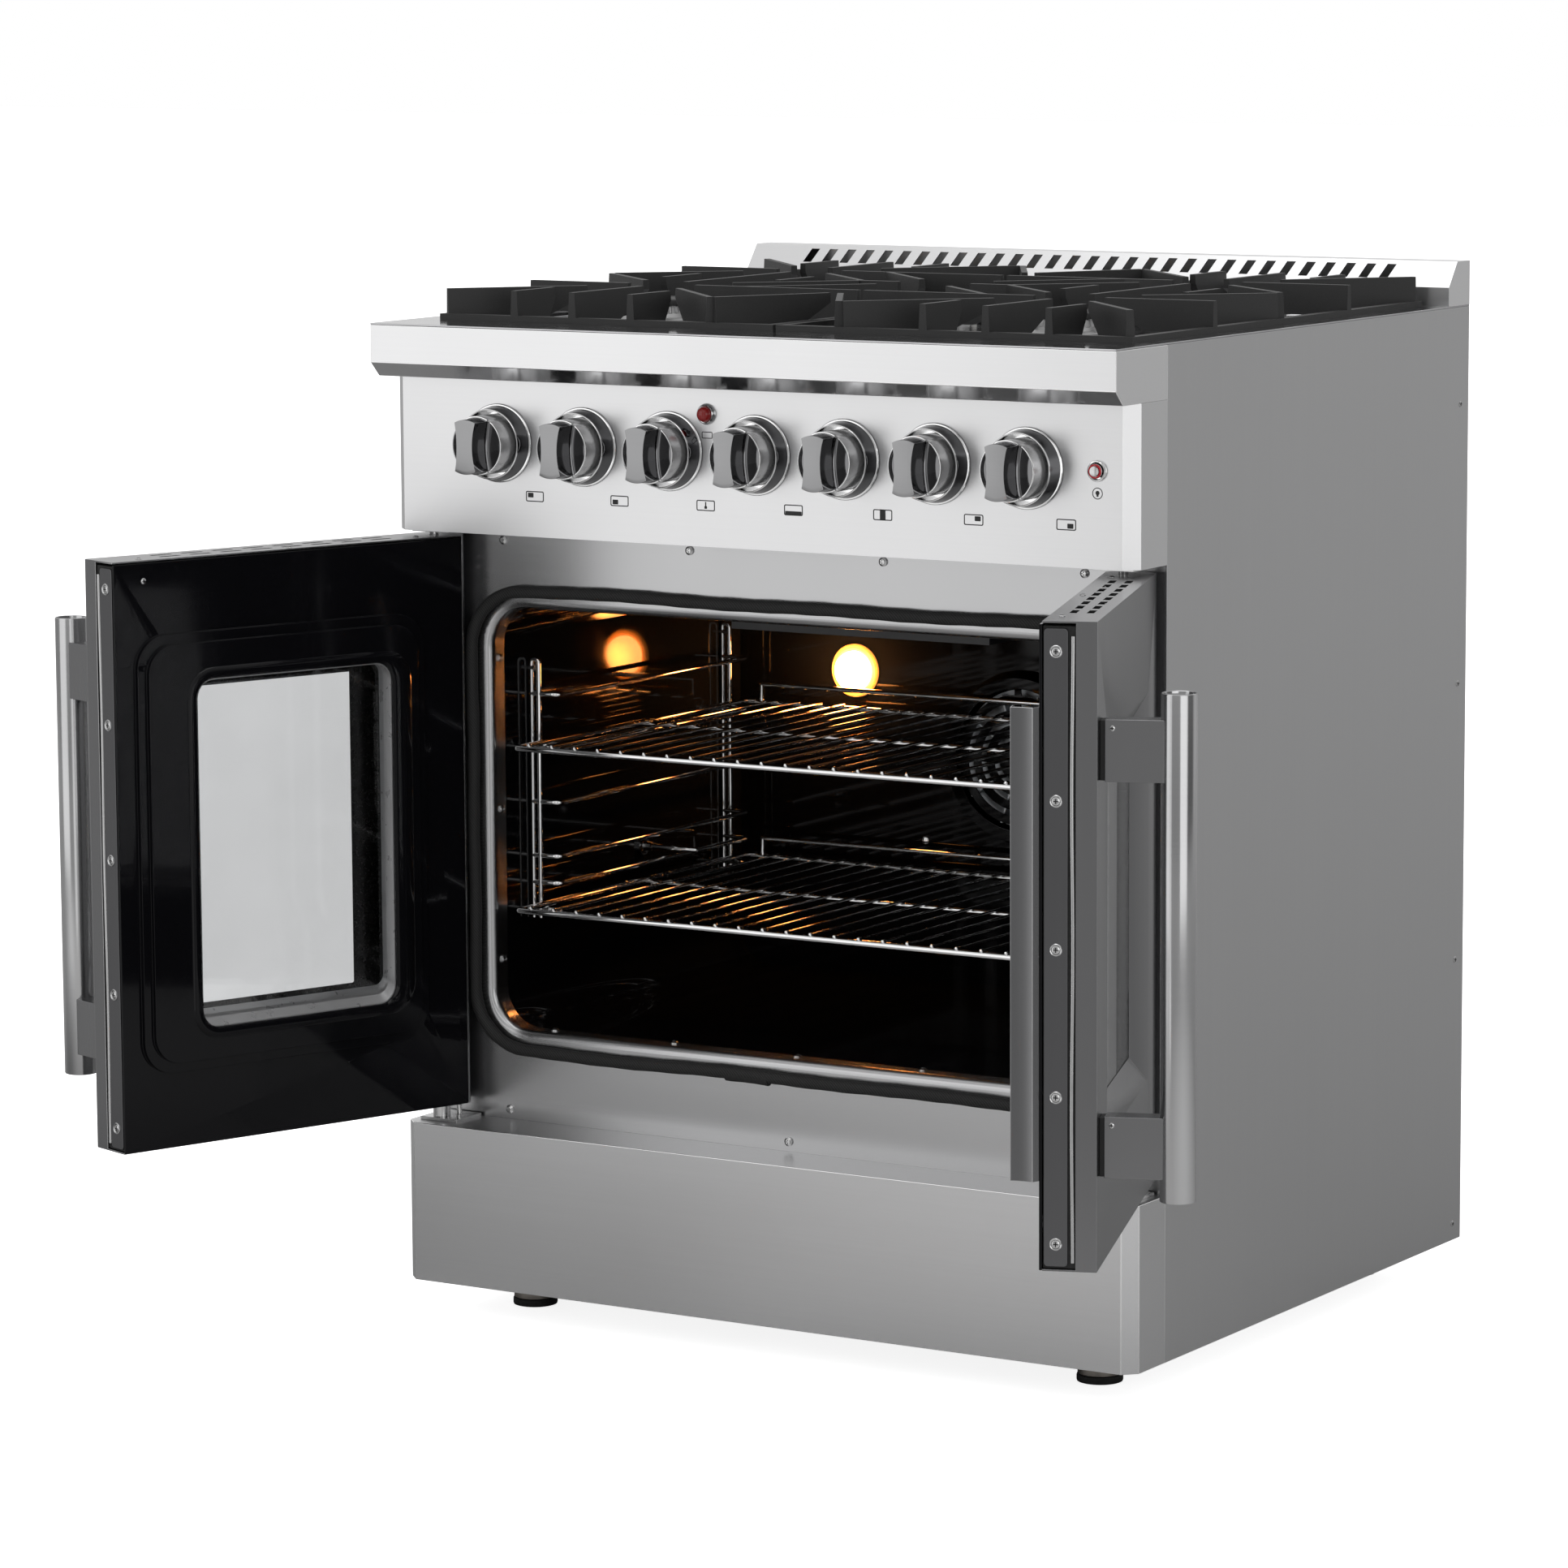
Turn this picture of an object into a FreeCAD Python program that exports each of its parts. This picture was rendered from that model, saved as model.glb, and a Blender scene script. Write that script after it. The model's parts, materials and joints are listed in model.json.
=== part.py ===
import FreeCAD, Part
import math
import os
from FreeCAD import Vector

# Freestanding 30-inch-class gas range with two French oven doors, drawn with both doors open.
# Millimetres. X runs to the right, Y to the back, Z up. While it is drawn, Y is the depth behind the
# face of the front rail; every piece is moved forward by ORIGIN_DEPTH when it is written, so that the
# origin is on the floor at the centre of the four feet.

# ---------------------------------------------------------------- driving dimensions
WIDTH = 759.0
HALF = WIDTH / 2
DEPTH = 680.0                # front rail face to back panel
COOKTOP_Z = 911.0
SHEET = 1.5
PANEL_DEPTH = 33.0           # front rail face to control and kick panel faces
CORNER = 11.5                # bevel on the vertical corners of the panels and doors
FRAME_DEPTH = 91.0           # front rail face to oven front frame
RAIL_HEIGHT = 48.0
RAIL_BEVEL = 12.5
CONTROL_Z = (723.0, COOKTOP_Z - RAIL_HEIGHT)
KICK_Z = (32.0, 179.0)
FOOT_X = 297.5
FOOT_DEPTHS = (124.5, 620.5)
ORIGIN_DEPTH = sum(FOOT_DEPTHS) / 2
FOOT_RADIUS = 20.5
GUARD_TOP_Z = 951.5
GUARD_LIP_DEPTH = 636.0

# oven
THROAT_HALF = 316.0
THROAT_Z = (262.0, 650.0)
THROAT_CORNER = 36.0
RIM_ROLL = 9.0
CAVITY_HALF = 318.0
CAVITY_Z = (260.0, 652.0)
CAVITY_DEPTHS = (104.0, 520.0)
GASKET_RADIUS = 5.7
RAIL_LEVELS = (364.0, 389.0, 414.0, 464.0, 514.0, 564.0)
RACK_LEVELS = (364.0, 514.0)
RACK_HALF = 300.0
ROD_DEPTHS = (156.0, 484.0)
ROD_X = 312.0
SUPPORT_X = 287.0
RACK_DEPTHS = (110.0, 497.0)
FAN_Z = 481.0
LAMP = (-187.0, 554.0)
LAMP_RADIUS = 22.0

# doors, drawn closed and then swung open
HINGE_X = 354.5
HINGE_DEPTH = 59.4
DOOR_Z = (194.0, 717.0)
DOOR_GAP = 1.6               # half of the gap between the two doors
DOOR_INNER = 79.4            # depth of the inner face
DOOR_OPEN = {"left": -110.0, "right": 111.0}
PLUG_TOP = 88.0
DOOR_X = (DOOR_GAP, HALF)
WINDOW_X = (77.0, 302.0)
WINDOW_Z = (297.0, 611.0)
PLUG_X = (21.5, 324.5)
PLUG_Z = (262.0, 651.0)
HANDLE_RADIUS = 14.5
HANDLE_X = 24.5
HANDLE_DEPTH = -29.1
HANDLE_Z = (249.5, 659.0)

# controls
KNOB_Z = 805.5
KNOB_PITCH = 90.0
KNOB_FIRST_X = -264.0
KNOB_NAMES = ("rear_left", "front_left", "oven_heat", "oven_mode", "centre", "rear_right", "front_right")
STEM_RADIUS = 3.0
KNOB_BACK = 29.5             # depth of the back of a knob
KNOB_RIM = -2.2              # depth of the front rim of a knob's barrel
KNOB_FACE = -21.7            # depth of the front of a knob's grip
KNOB_RADIUS = 26.4
GRIP_RADIUS = 24.8
GRIP_WAIST = 8.2             # half-width of the grip at its middle
GRIP_END = 11.0              # half-width of the grip at its ends
BEZEL_FRONT = 16.0           # depth of the front lip of a bezel
LAMP_SPOT = (-44.0, 839.5)
BUTTON_SPOT = (344.0, 806.0)

# gas and power connections, as (x, z) unless noted
GAS_INLET = (300.0, 110.0)
POWER_SPOT = (-300.0, 110.0)
MANIFOLD = (100.0, 805.5)     # depth and z of the manifold pipe
PIPE_RADIUS = 8.0
INLET_RADIUS = 10.65          # half-inch pipe

# burners and grates
BURNER_X = 212.0
BURNER_DEPTHS = (223.0, 352.0, 481.0)
CAP_NAMES = ("front_left", "rear_left", "centre", "front_right", "rear_right")
CAP_RADII = (30.0, 27.0, 32.0, 32.0, 24.0)
CAP_THICKNESS = 6.5
HEAD_TOP_Z = COOKTOP_Z + 9.0
GRATE_DEPTHS = (74.0, 630.0)
GRATE_HALF = 355.0
FIN_TOP_Z = 938.5
FIN_WIDTHS = (8.6, 5.6)       # at the foot and at the top
BAR_WIDTH = 9.0
BAR_TOP_Z = COOKTOP_Z + 5.0


# ---------------------------------------------------------------- small drawing helpers
def box(x, y, z):
    """Box between pairs of x, y and z values."""
    low = Vector(min(x), min(y), min(z))
    return Part.makeBox(abs(x[1] - x[0]), abs(y[1] - y[0]), abs(z[1] - z[0]), low)


def rod(start, end, radius):
    """Round bar between two points."""
    a, b = Vector(*start), Vector(*end)
    return Part.makeCylinder(radius, (b - a).Length, a, b - a)


def bent_rod(points, radius):
    """Round bar through several points with ball corners."""
    pieces = [rod(a, b, radius) for a, b in zip(points, points[1:])]
    pieces += [Part.makeSphere(radius, Vector(*p)) for p in points[1:-1]]
    return fused(pieces)


def fused(shapes):
    """One solid from several that touch or overlap."""
    return shapes[0].multiFuse(shapes[1:]).removeSplitter() if len(shapes) > 1 else shapes[0]


def prism(points, vector):
    """Polygon through 3-D points, swept along a vector."""
    wire = Part.makePolygon([Vector(*p) for p in points] + [Vector(*points[0])])
    return Part.Face(wire).extrude(Vector(*vector))


def along_x(profile, x):
    """Prism of a (depth, z) outline between two x values."""
    return prism([(x[0], d, z) for d, z in profile], (x[1] - x[0], 0, 0))


def rounded(x, z, y, radius):
    """Rounded rectangle in the XZ plane, swept along Y."""
    solid = box(x, y, z)
    edges = [e for e in solid.Edges if abs(e.Vertexes[0].Point.y - e.Vertexes[1].Point.y) > 1e-6]
    return solid.makeFillet(radius, edges)


def grown(pair, amount):
    """Pair of values widened by an amount at both ends."""
    return (min(pair) - amount, max(pair) + amount)


def frustum(x, z, y, inset):
    """Rectangle at the first depth that shrinks by an inset to the second depth."""
    wires = []
    for depth, off in zip(y, (0.0, inset)):
        xs, zs = grown(x, -off), grown(z, -off)
        corners = [(xs[0], zs[0]), (xs[1], zs[0]), (xs[1], zs[1]), (xs[0], zs[1])]
        wires.append(Part.makePolygon([Vector(cx, depth, cz) for cx, cz in corners + corners[:1]]))
    return Part.makeLoft(wires, True, True)


def mirrored(shape):
    """Copy reflected across the centre plane."""
    return shape.mirror(Vector(0, 0, 0), Vector(1, 0, 0))


def both_sides(shape):
    """A piece and its mirror image, as two separate solids."""
    return Part.makeCompound([shape, mirrored(shape)])


def write(shape, node):
    """Move a piece to the part's origin and write it."""
    placed = shape.copy()
    placed.translate(Vector(0, -ORIGIN_DEPTH, 0))
    placed.exportStep("parts/" + node + ".step")


# ---------------------------------------------------------------- cabinet
def bevelled_plan(inset):
    """Plan outline of the front panels: square at the back, bevelled at the front corners."""
    side = HALF - inset
    face = HALF - CORNER - inset * (math.sqrt(2) - 1)
    front = PANEL_DEPTH + inset
    corner = PANEL_DEPTH + CORNER + inset * (math.sqrt(2) - 1)
    return [(-side, FRAME_DEPTH), (-side, corner), (-face, front), (face, front), (side, corner),
            (side, FRAME_DEPTH)]


def folded_panel(z, inner_z):
    """Folded front panel, open at the back."""
    outer = prism([(x, y, z[0]) for x, y in bevelled_plan(0)], (0, 0, z[1] - z[0]))
    inner = prism([(x, y, inner_z[0]) for x, y in bevelled_plan(SHEET)], (0, 0, inner_z[1] - inner_z[0]))
    return outer.cut(inner)


def knob_spots():
    """X of each knob, from left to right."""
    return [KNOB_FIRST_X + KNOB_PITCH * i for i in range(len(KNOB_NAMES))]


def control_panel():
    """Panel with holes for the valve stems, the lamp and the button."""
    panel = folded_panel(CONTROL_Z, (CONTROL_Z[0] + SHEET, CONTROL_Z[1]))
    depths = (PANEL_DEPTH - 1, PANEL_DEPTH + 5)
    holes = [rod((x, depths[0], KNOB_Z), (x, depths[1], KNOB_Z), 7.5) for x in knob_spots()]
    for (x, z), radius in ((LAMP_SPOT, 5.2), (BUTTON_SPOT, 7.0)):
        holes.append(rod((x, depths[0], z), (x, depths[1], z), radius))
    return panel.cut(holes)


def kick_panel():
    """Lower front panel; its top shelf carries the lower hinge pins."""
    return folded_panel(KICK_Z, (KICK_Z[0], KICK_Z[1] - SHEET))


def bullnose_rail():
    """Hollow front rail under the cooktop's edge."""
    top, low = COOKTOP_Z - SHEET, COOKTOP_Z - RAIL_HEIGHT
    outer = [(0, top), (0, low + RAIL_BEVEL), (RAIL_BEVEL, low), (FRAME_DEPTH, low), (FRAME_DEPTH, top)]
    slope = SHEET * (math.sqrt(2) - 1)
    inner = [(SHEET, top - SHEET), (SHEET, low + RAIL_BEVEL + slope), (RAIL_BEVEL + slope, low + SHEET),
             (FRAME_DEPTH, low + SHEET), (FRAME_DEPTH, top - SHEET)]
    return along_x(outer, (-HALF, HALF)).cut(along_x(inner, grown((-HALF, HALF), -SHEET)))


def side_panel():
    """Right side panel with top and bottom flanges."""
    z = (KICK_Z[0], COOKTOP_Z - SHEET)
    y = (FRAME_DEPTH, DEPTH)
    skin = box((HALF - SHEET, HALF), y, z)
    foot = box((HALF - 22, HALF - SHEET), y, (z[0], z[0] + SHEET))
    head = box((HALF - 16, HALF - SHEET), y, (z[1] - SHEET, z[1]))
    return fused([skin, foot, head])


def back_panel():
    """Rear sheet with louvre slots and holes for the gas pipe and the cord gland."""
    z = (KICK_Z[0] + SHEET, COOKTOP_Z - 2 * SHEET)
    sheet = box(grown((-HALF, HALF), -SHEET), (DEPTH - SHEET, DEPTH), z)
    slots = []
    for row in range(4):
        for column in (-1, 0, 1):
            x, low = column * 170.0, 700.0 + row * 26.0
            slots.append(box((x - 60, x + 60), (DEPTH - 3, DEPTH + 1), (low, low + 8)))
    holes = [rod((x, DEPTH - 3, z), (x, DEPTH + 1, z), radius)
             for (x, z), radius in ((GAS_INLET, 24.0), (POWER_SPOT, 9.0))]
    return sheet.cut(slots + holes)


def foot_spots():
    """X and depth of each foot."""
    return [(x, d) for d in FOOT_DEPTHS for x in (-FOOT_X, FOOT_X)]


def base_pan():
    """Bottom sheet between the side panels, with clearance holes for the foot stems."""
    z = KICK_Z[0] + SHEET
    pan = box(grown((-HALF, HALF), -SHEET), (FRAME_DEPTH, DEPTH - SHEET), (z, z + SHEET))
    ledge = box(grown((-HALF, HALF), -60), (FRAME_DEPTH, FRAME_DEPTH + SHEET), (z, z + 60))
    holes = [rod((x, d, z - 1), (x, d, z + 3), 6.4) for x, d in foot_spots()]
    return fused([pan, ledge]).cut(holes)


def frame_screw_spots():
    """X and z of the screws on the face of the front frame."""
    return [(x, 712.0) for x in (-300, -100, 100, 300)] + [(x, 188.0) for x in (-300, 0, 300)]


def rim_screw_spots():
    """Point on the throat's wall and inward direction of each rim screw."""
    depth = FRAME_DEPTH + RIM_ROLL + 6
    spots = [((s * THROAT_HALF, depth, z), (-s, 0, 0)) for s in (-1, 1) for z in (324.0, 463.0, 602.0)]
    spots += [((x, depth, THROAT_Z[0]), (0, 0, 1)) for x in (-260, -130, 0, 130, 260)]
    return spots


def front_frame():
    """Face plate round the oven with a rolled rim and a throat that runs back to the liner."""
    y = (FRAME_DEPTH, FRAME_DEPTH + SHEET)
    plate = box(grown((-HALF, HALF), -SHEET), y, (120.0, 742.0))
    throat_x = (-THROAT_HALF, THROAT_HALF)
    hole = rounded(throat_x, THROAT_Z, (FRAME_DEPTH - 1, FRAME_DEPTH + 40), THROAT_CORNER)
    roll_y = (FRAME_DEPTH, FRAME_DEPTH + RIM_ROLL)
    roll = rounded(grown(throat_x, RIM_ROLL), grown(THROAT_Z, RIM_ROLL), roll_y, THROAT_CORNER + RIM_ROLL)
    tube_y = (FRAME_DEPTH, FRAME_DEPTH + RIM_ROLL + 13)
    tube = rounded(grown(throat_x, SHEET), grown(THROAT_Z, SHEET), tube_y, THROAT_CORNER + SHEET)
    solid = fused([plate, roll, tube]).cut(hole)
    inner_front = [e for e in solid.Edges
                   if all(abs(v.Point.y - FRAME_DEPTH) < 1e-6 for v in e.Vertexes)
                   and abs(e.CenterOfMass.x) <= THROAT_HALF + 1e-6
                   and THROAT_Z[0] - 1e-6 <= e.CenterOfMass.z <= THROAT_Z[1] + 1e-6]
    solid = solid.makeFillet(RIM_ROLL - 1.0, inner_front)
    holes = [rod((x, FRAME_DEPTH - 1, z), (x, FRAME_DEPTH + 4, z), 2.1) for x, z in frame_screw_spots()]
    for (x, y0, z), (dx, dy, dz) in rim_screw_spots():
        holes.append(rod((x + dx, y0, z + dz), (x - 4 * dx, y0, z - 4 * dz), 2.1))
    return solid.cut(holes)


def screw(point, direction):
    """Pan-head screw whose head sits on a face that looks along the direction."""
    d = Vector(*direction)
    head = Part.makeCylinder(4.0, 1.4, Vector(*point), d)
    crown = Part.makeCone(4.0, 2.2, 1.2, Vector(*point) + d * 1.4, d)
    shank = Part.makeCylinder(2.0, 5.0, Vector(*point) - d * 5.0, d)
    cross = [box((-0.5, 0.5), (-2.0, 2.0), (1.6, 3.0)), box((-2.0, 2.0), (-0.5, 0.5), (1.6, 3.0))]
    turn = FreeCAD.Placement(Vector(*point), FreeCAD.Rotation(Vector(0, 0, 1), d))
    for bar in cross:
        bar.Placement = turn
    return fused([head, crown, shank]).cut(cross)


def front_screws():
    """Screws of the front frame and of its rim, as separate solids."""
    screws = [screw((x, FRAME_DEPTH, z), (0, -1, 0)) for x, z in frame_screw_spots()]
    screws += [screw(point, direction) for point, direction in rim_screw_spots()]
    return Part.makeCompound(screws)


def cooktop():
    """Top sheet with a shallow drawn well, burner holes and a vent under the backguard."""
    top = (COOKTOP_Z - SHEET, COOKTOP_Z)
    plate = box((-HALF, HALF), (0, DEPTH), top)
    well_x, well_y, well_depth = (-332.0, 332.0), (96.0, 610.0), 6.0
    low = COOKTOP_Z - well_depth - SHEET
    pan = box(grown(well_x, SHEET), grown(well_y, SHEET), (low, COOKTOP_Z))
    hollow = box(well_x, well_y, (low + SHEET, COOKTOP_Z + 1))
    hollow = hollow.makeFillet(5.0, [e for e in hollow.Edges if e.BoundBox.ZLength > 1])
    vent = box((-330, 330), (GUARD_LIP_DEPTH + 9, DEPTH - 9), grown(top, 1))
    holes = [rod((x, y, low - 1), (x, y, COOKTOP_Z), 34.0) for x, y in burner_spots()]
    return fused([plate, pan]).cut([hollow, vent] + holes)


def guard_outline(inset):
    """End outline of the backguard: lip, slanted grille, flat top."""
    slope = inset * 0.35
    return [(GUARD_LIP_DEPTH + inset, COOKTOP_Z), (GUARD_LIP_DEPTH + inset, 928.5 - slope),
            (653.5 + slope, GUARD_TOP_Z - inset), (DEPTH - inset, GUARD_TOP_Z - inset),
            (DEPTH - inset, COOKTOP_Z)]


def backguard():
    """Hollow island-trim backguard with a row of vent slots in its slanted face."""
    shell = along_x(guard_outline(0), (-HALF, HALF))
    shell = shell.cut(along_x(guard_outline(SHEET), grown((-HALF, HALF), -SHEET)))
    count, pitch, half_width, lean = 31, 20.8, 4.6, 5.0
    low, high = 935.5, 948.0
    slots = []
    for i in range(count):
        x = (i - (count - 1) / 2) * pitch
        front = GUARD_LIP_DEPTH - 6
        slot = [(x - half_width - lean / 2, front, low), (x + half_width - lean / 2, front, low),
                (x + half_width + lean / 2, front, high), (x - half_width + lean / 2, front, high)]
        slots.append(prism(slot, (0, 28, 0)))
    return shell.cut(slots)


# ---------------------------------------------------------------- oven
def liner_screw_clearance():
    """Room for the rim screws' shanks beside the liner."""
    return [rod(p, (p[0] - 9 * d[0], p[1], p[2] - 9 * d[2]), 2.6) for p, d in rim_screw_spots()]


def oven_liner():
    """Enamelled oven box with a front flange, a lamp hole and a fan shaft hole."""
    x, wall = (-CAVITY_HALF, CAVITY_HALF), SHEET
    y = (CAVITY_DEPTHS[0], CAVITY_DEPTHS[1] + wall)
    outer = rounded(grown(x, wall), grown(CAVITY_Z, wall), y, 33.5)
    inner = rounded(x, CAVITY_Z, (y[0] - 1, CAVITY_DEPTHS[1]), 32.0)
    flange = rounded(grown(x, 14), grown(CAVITY_Z, 14), (y[0], y[0] + wall), 40.0)
    lamp = rod((LAMP[0], y[1] - 4, LAMP[1]), (LAMP[0], y[1] + 1, LAMP[1]), 18.0)
    shaft = rod((0, y[1] - 4, FAN_Z), (0, y[1] + 1, FAN_Z), 6.0)
    return fused([outer, flange]).cut([inner, lamp, shaft] + liner_screw_clearance())


def oven_lamp():
    """Domed glass lens and its threaded socket, in the back wall."""
    wall = CAVITY_DEPTHS[1]
    dome = Part.makeSphere(LAMP_RADIUS + 4, Vector(LAMP[0], wall + 12, LAMP[1]))
    dome = dome.common(box(grown((LAMP[0], LAMP[0]), 40), (wall - 30, wall), grown((LAMP[1],) * 2, 40)))
    collar = rod((LAMP[0], wall - 3, LAMP[1]), (LAMP[0], wall, LAMP[1]), LAMP_RADIUS + 1.5)
    socket = rod((LAMP[0], wall, LAMP[1]), (LAMP[0], wall + 34, LAMP[1]), 17.6)
    return fused([dome, collar, socket])


def oven_insulation():
    """Blanket round the liner, with room under the floor for the bake burner."""
    outer = box((-345, 345), (125, 547), (190, 690))
    inner = box((-320, 320), (124, CAVITY_DEPTHS[1] + SHEET), (218, 655))
    shaft = rod((0, 500, FAN_Z), (0, 560, FAN_Z), 12)
    lamp = rod((LAMP[0], 500, LAMP[1]), (LAMP[0], 560, LAMP[1]), 19)
    return outer.cut([inner, shaft, lamp])


def door_gasket():
    """Rope seal round the oven opening, as a closed ring of round section, jointed at the bottom."""
    off = 17.0
    x, z, r = THROAT_HALF + off, grown(THROAT_Z, off), THROAT_CORNER + off
    y = FRAME_DEPTH - GASKET_RADIUS
    centres = [(x - r, z[1] - r, 0), (-x + r, z[1] - r, 90), (-x + r, z[0] + r, 180), (x - r, z[0] + r, 270)]
    edges = []
    last = None
    for cx, cz, start in centres:
        arc_points = []
        for angle in (start, start + 45, start + 90):
            a = math.radians(angle)
            arc_points.append(Vector(cx + r * math.cos(a), y, cz + r * math.sin(a)))
        if last is not None:
            edges.append(Part.makeLine(last, arc_points[0]))
        edges.append(Part.Arc(*arc_points).toShape())
        last = arc_points[2]
    edges.append(Part.makeLine(last, edges[0].Vertexes[0].Point))
    joint = Vector(0, y, z[0])
    circle = Part.Wire(Part.makeCircle(GASKET_RADIUS, joint, Vector(1, 0, 0)))
    lower, others = edges[5], edges[6:] + edges[:5]
    start = Part.makeLine(joint, lower.Vertexes[1].Point)
    finish = Part.makeLine(lower.Vertexes[0].Point, joint)
    spine = Part.Wire([start] + others + [finish])
    return spine.makePipeShell([circle], True, False)


def rack_support():
    """Right-hand wire ladder: two uprights and a bent rail at each level."""
    wire = 2.5
    pieces = [rod((ROD_X, d, 352.0), (ROD_X, d, 596.0), wire) for d in ROD_DEPTHS]
    for z in RAIL_LEVELS:
        rail = [(ROD_X, ROD_DEPTHS[0], z), (SUPPORT_X, ROD_DEPTHS[0] + 2, z),
                (SUPPORT_X, ROD_DEPTHS[1] - 2, z), (ROD_X, ROD_DEPTHS[1], z)]
        pieces.append(bent_rod(rail, wire))
    return fused(pieces)


def rack(level):
    """Wire oven rack: rim, raised back rail, cross bars and wires that run front to back."""
    rim_r, wire_r, count, pitch = 3.0, 1.6, 24, 25.0
    z = level + 2.5 + rim_r + 0.1
    front, back = RACK_DEPTHS
    corners = [(-RACK_HALF, front, z), (RACK_HALF, front, z), (RACK_HALF, back, z), (-RACK_HALF, back, z)]
    pieces = [rod(a, b, rim_r) for a, b in zip(corners, corners[1:] + corners[:1])]
    pieces += [Part.makeSphere(rim_r, Vector(*c)) for c in corners]
    stop = [(-279, back, z), (-279, back, z + 18), (279, back, z + 18), (279, back, z)]
    pieces.append(bent_rod(stop, rim_r - 0.5))
    brace = front + 200.0
    pieces.append(rod((-RACK_HALF, brace, z), (RACK_HALF, brace, z), 2.2))
    for i in range(count):
        x = (i - (count - 1) / 2) * pitch
        pieces.append(rod((x, front - 1, z + rim_r), (x, back + 1, z + rim_r), wire_r))
    return fused(pieces)


def fan_cover():
    """Dished round cover over the convection fan, with ring slots."""
    wall = CAVITY_DEPTHS[1]
    front = wall - 16.0
    dish = Part.makeCone(84, 78, 16, Vector(0, wall, FAN_Z), Vector(0, -1, 0))
    inside = Part.makeCone(82, 76, 14.5, Vector(0, wall, FAN_Z), Vector(0, -1, 0))
    slots = []
    for outer_r in (68, 54, 40, 26):
        ring = rod((0, front - 1, FAN_Z), (0, front + 3, FAN_Z), outer_r)
        ring = ring.cut(rod((0, front - 2, FAN_Z), (0, front + 4, FAN_Z), outer_r - 6))
        slots.append(ring)
    spokes = [box((-80, 80), (front - 3, front + 5), (FAN_Z - 3.5, FAN_Z + 3.5))]
    spokes.append(box((-3.5, 3.5), (front - 3, front + 5), (FAN_Z - 80, FAN_Z + 80)))
    slots = [slot.cut(spokes) for slot in slots]
    return dish.cut([inside] + slots)


def fan_wheel():
    """Radial wheel with a back plate, blades, hub and shaft."""
    wall = CAVITY_DEPTHS[1]
    plate = rod((0, wall - 3.2, FAN_Z), (0, wall - 2, FAN_Z), 66)
    hub = rod((0, wall - 12, FAN_Z), (0, wall - 2, FAN_Z), 9)
    shaft = rod((0, wall - 3, FAN_Z), (0, wall + 52, FAN_Z), 3.5)
    blades = []
    for i in range(10):
        blade = box((26, 64), (wall - 13, wall - 3), (FAN_Z - 0.8, FAN_Z + 0.8))
        blade.rotate(Vector(0, wall, FAN_Z), Vector(0, 1, 0), 36 * i)
        blades.append(blade)
    return fused([plate, hub, shaft] + blades)


def fan_motor():
    """Motor behind the insulation, with its mounting flange and shaft bore."""
    start = 548.0
    body = rod((0, start, FAN_Z), (0, start + 44, FAN_Z), 34)
    flange = box((-52, 52), (start, start + 2), (FAN_Z - 22, FAN_Z + 22))
    bore = rod((0, start - 1, FAN_Z), (0, start + 30, FAN_Z), 3.8)
    return fused([body, flange]).cut(bore)


def oven_burners():
    """Infrared broil burner in the oven's ceiling and tubular bake burner under its floor."""
    frame = box((-135, 135), (215, 425), (628, 651.8))
    recess = box((-123, 123), (227, 413), (627, 634))
    broil = frame.cut(recess)
    loop = [(-30, 470, 240), (-150, 470, 240), (-150, 190, 240), (150, 190, 240), (150, 470, 240),
            (30, 470, 240)]
    return Part.makeCompound([broil, bent_rod(loop, 8.0)])


# ---------------------------------------------------------------- gas train and electrics
def gas_supply():
    """Manifold pipe, feed pipe, pressure regulator and rear inlet."""
    riser = 362.0
    rear = DEPTH - 40
    route = [(-300, MANIFOLD[0], MANIFOLD[1]), (riser, MANIFOLD[0], MANIFOLD[1]), (riser, rear, MANIFOLD[1]),
             (riser, rear, GAS_INLET[1]), (GAS_INLET[0], rear, GAS_INLET[1])]
    feed = bent_rod(route, PIPE_RADIUS)
    regulator = rod((GAS_INLET[0], rear, GAS_INLET[1] - 24), (GAS_INLET[0], rear, GAS_INLET[1] + 20), 24)
    x, z = GAS_INLET
    shoulder = rod((x, rear, z), (x, DEPTH - 10, z), 17)
    inlet = rod((x, rear, z), (x, DEPTH + 12, z), INLET_RADIUS)
    return fused([feed, regulator, shoulder, inlet])


def gas_valves():
    """One valve with its stem behind each knob, as separate solids."""
    valves = []
    for x in knob_spots():
        body = box((x - 11, x + 11), (46, MANIFOLD[0] - PIPE_RADIUS), (KNOB_Z - 13, KNOB_Z + 13))
        neck = rod((x, PANEL_DEPTH + 4, KNOB_Z), (x, 46, KNOB_Z), 9)
        stem = rod((x, 6, KNOB_Z), (x, 46, KNOB_Z), STEM_RADIUS)
        valves.append(fused([body, neck, stem]))
    return Part.makeCompound(valves)


def power_inlet():
    """Cord gland in the back panel and the terminal box inside."""
    x, z = POWER_SPOT
    gland = rod((x, DEPTH - SHEET - 8, z), (x, DEPTH + 6, z), 8.6)
    flange = rod((x, DEPTH - SHEET - 3, z), (x, DEPTH - SHEET, z), 12)
    terminal = box((x - 30, x + 30), (DEPTH - 50, DEPTH - SHEET - 8), (z - 22, z + 22))
    bore = rod((x, DEPTH - 20, z), (x, DEPTH + 7, z), 4.5)
    return fused([gland, flange, terminal]).cut(bore)


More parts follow.
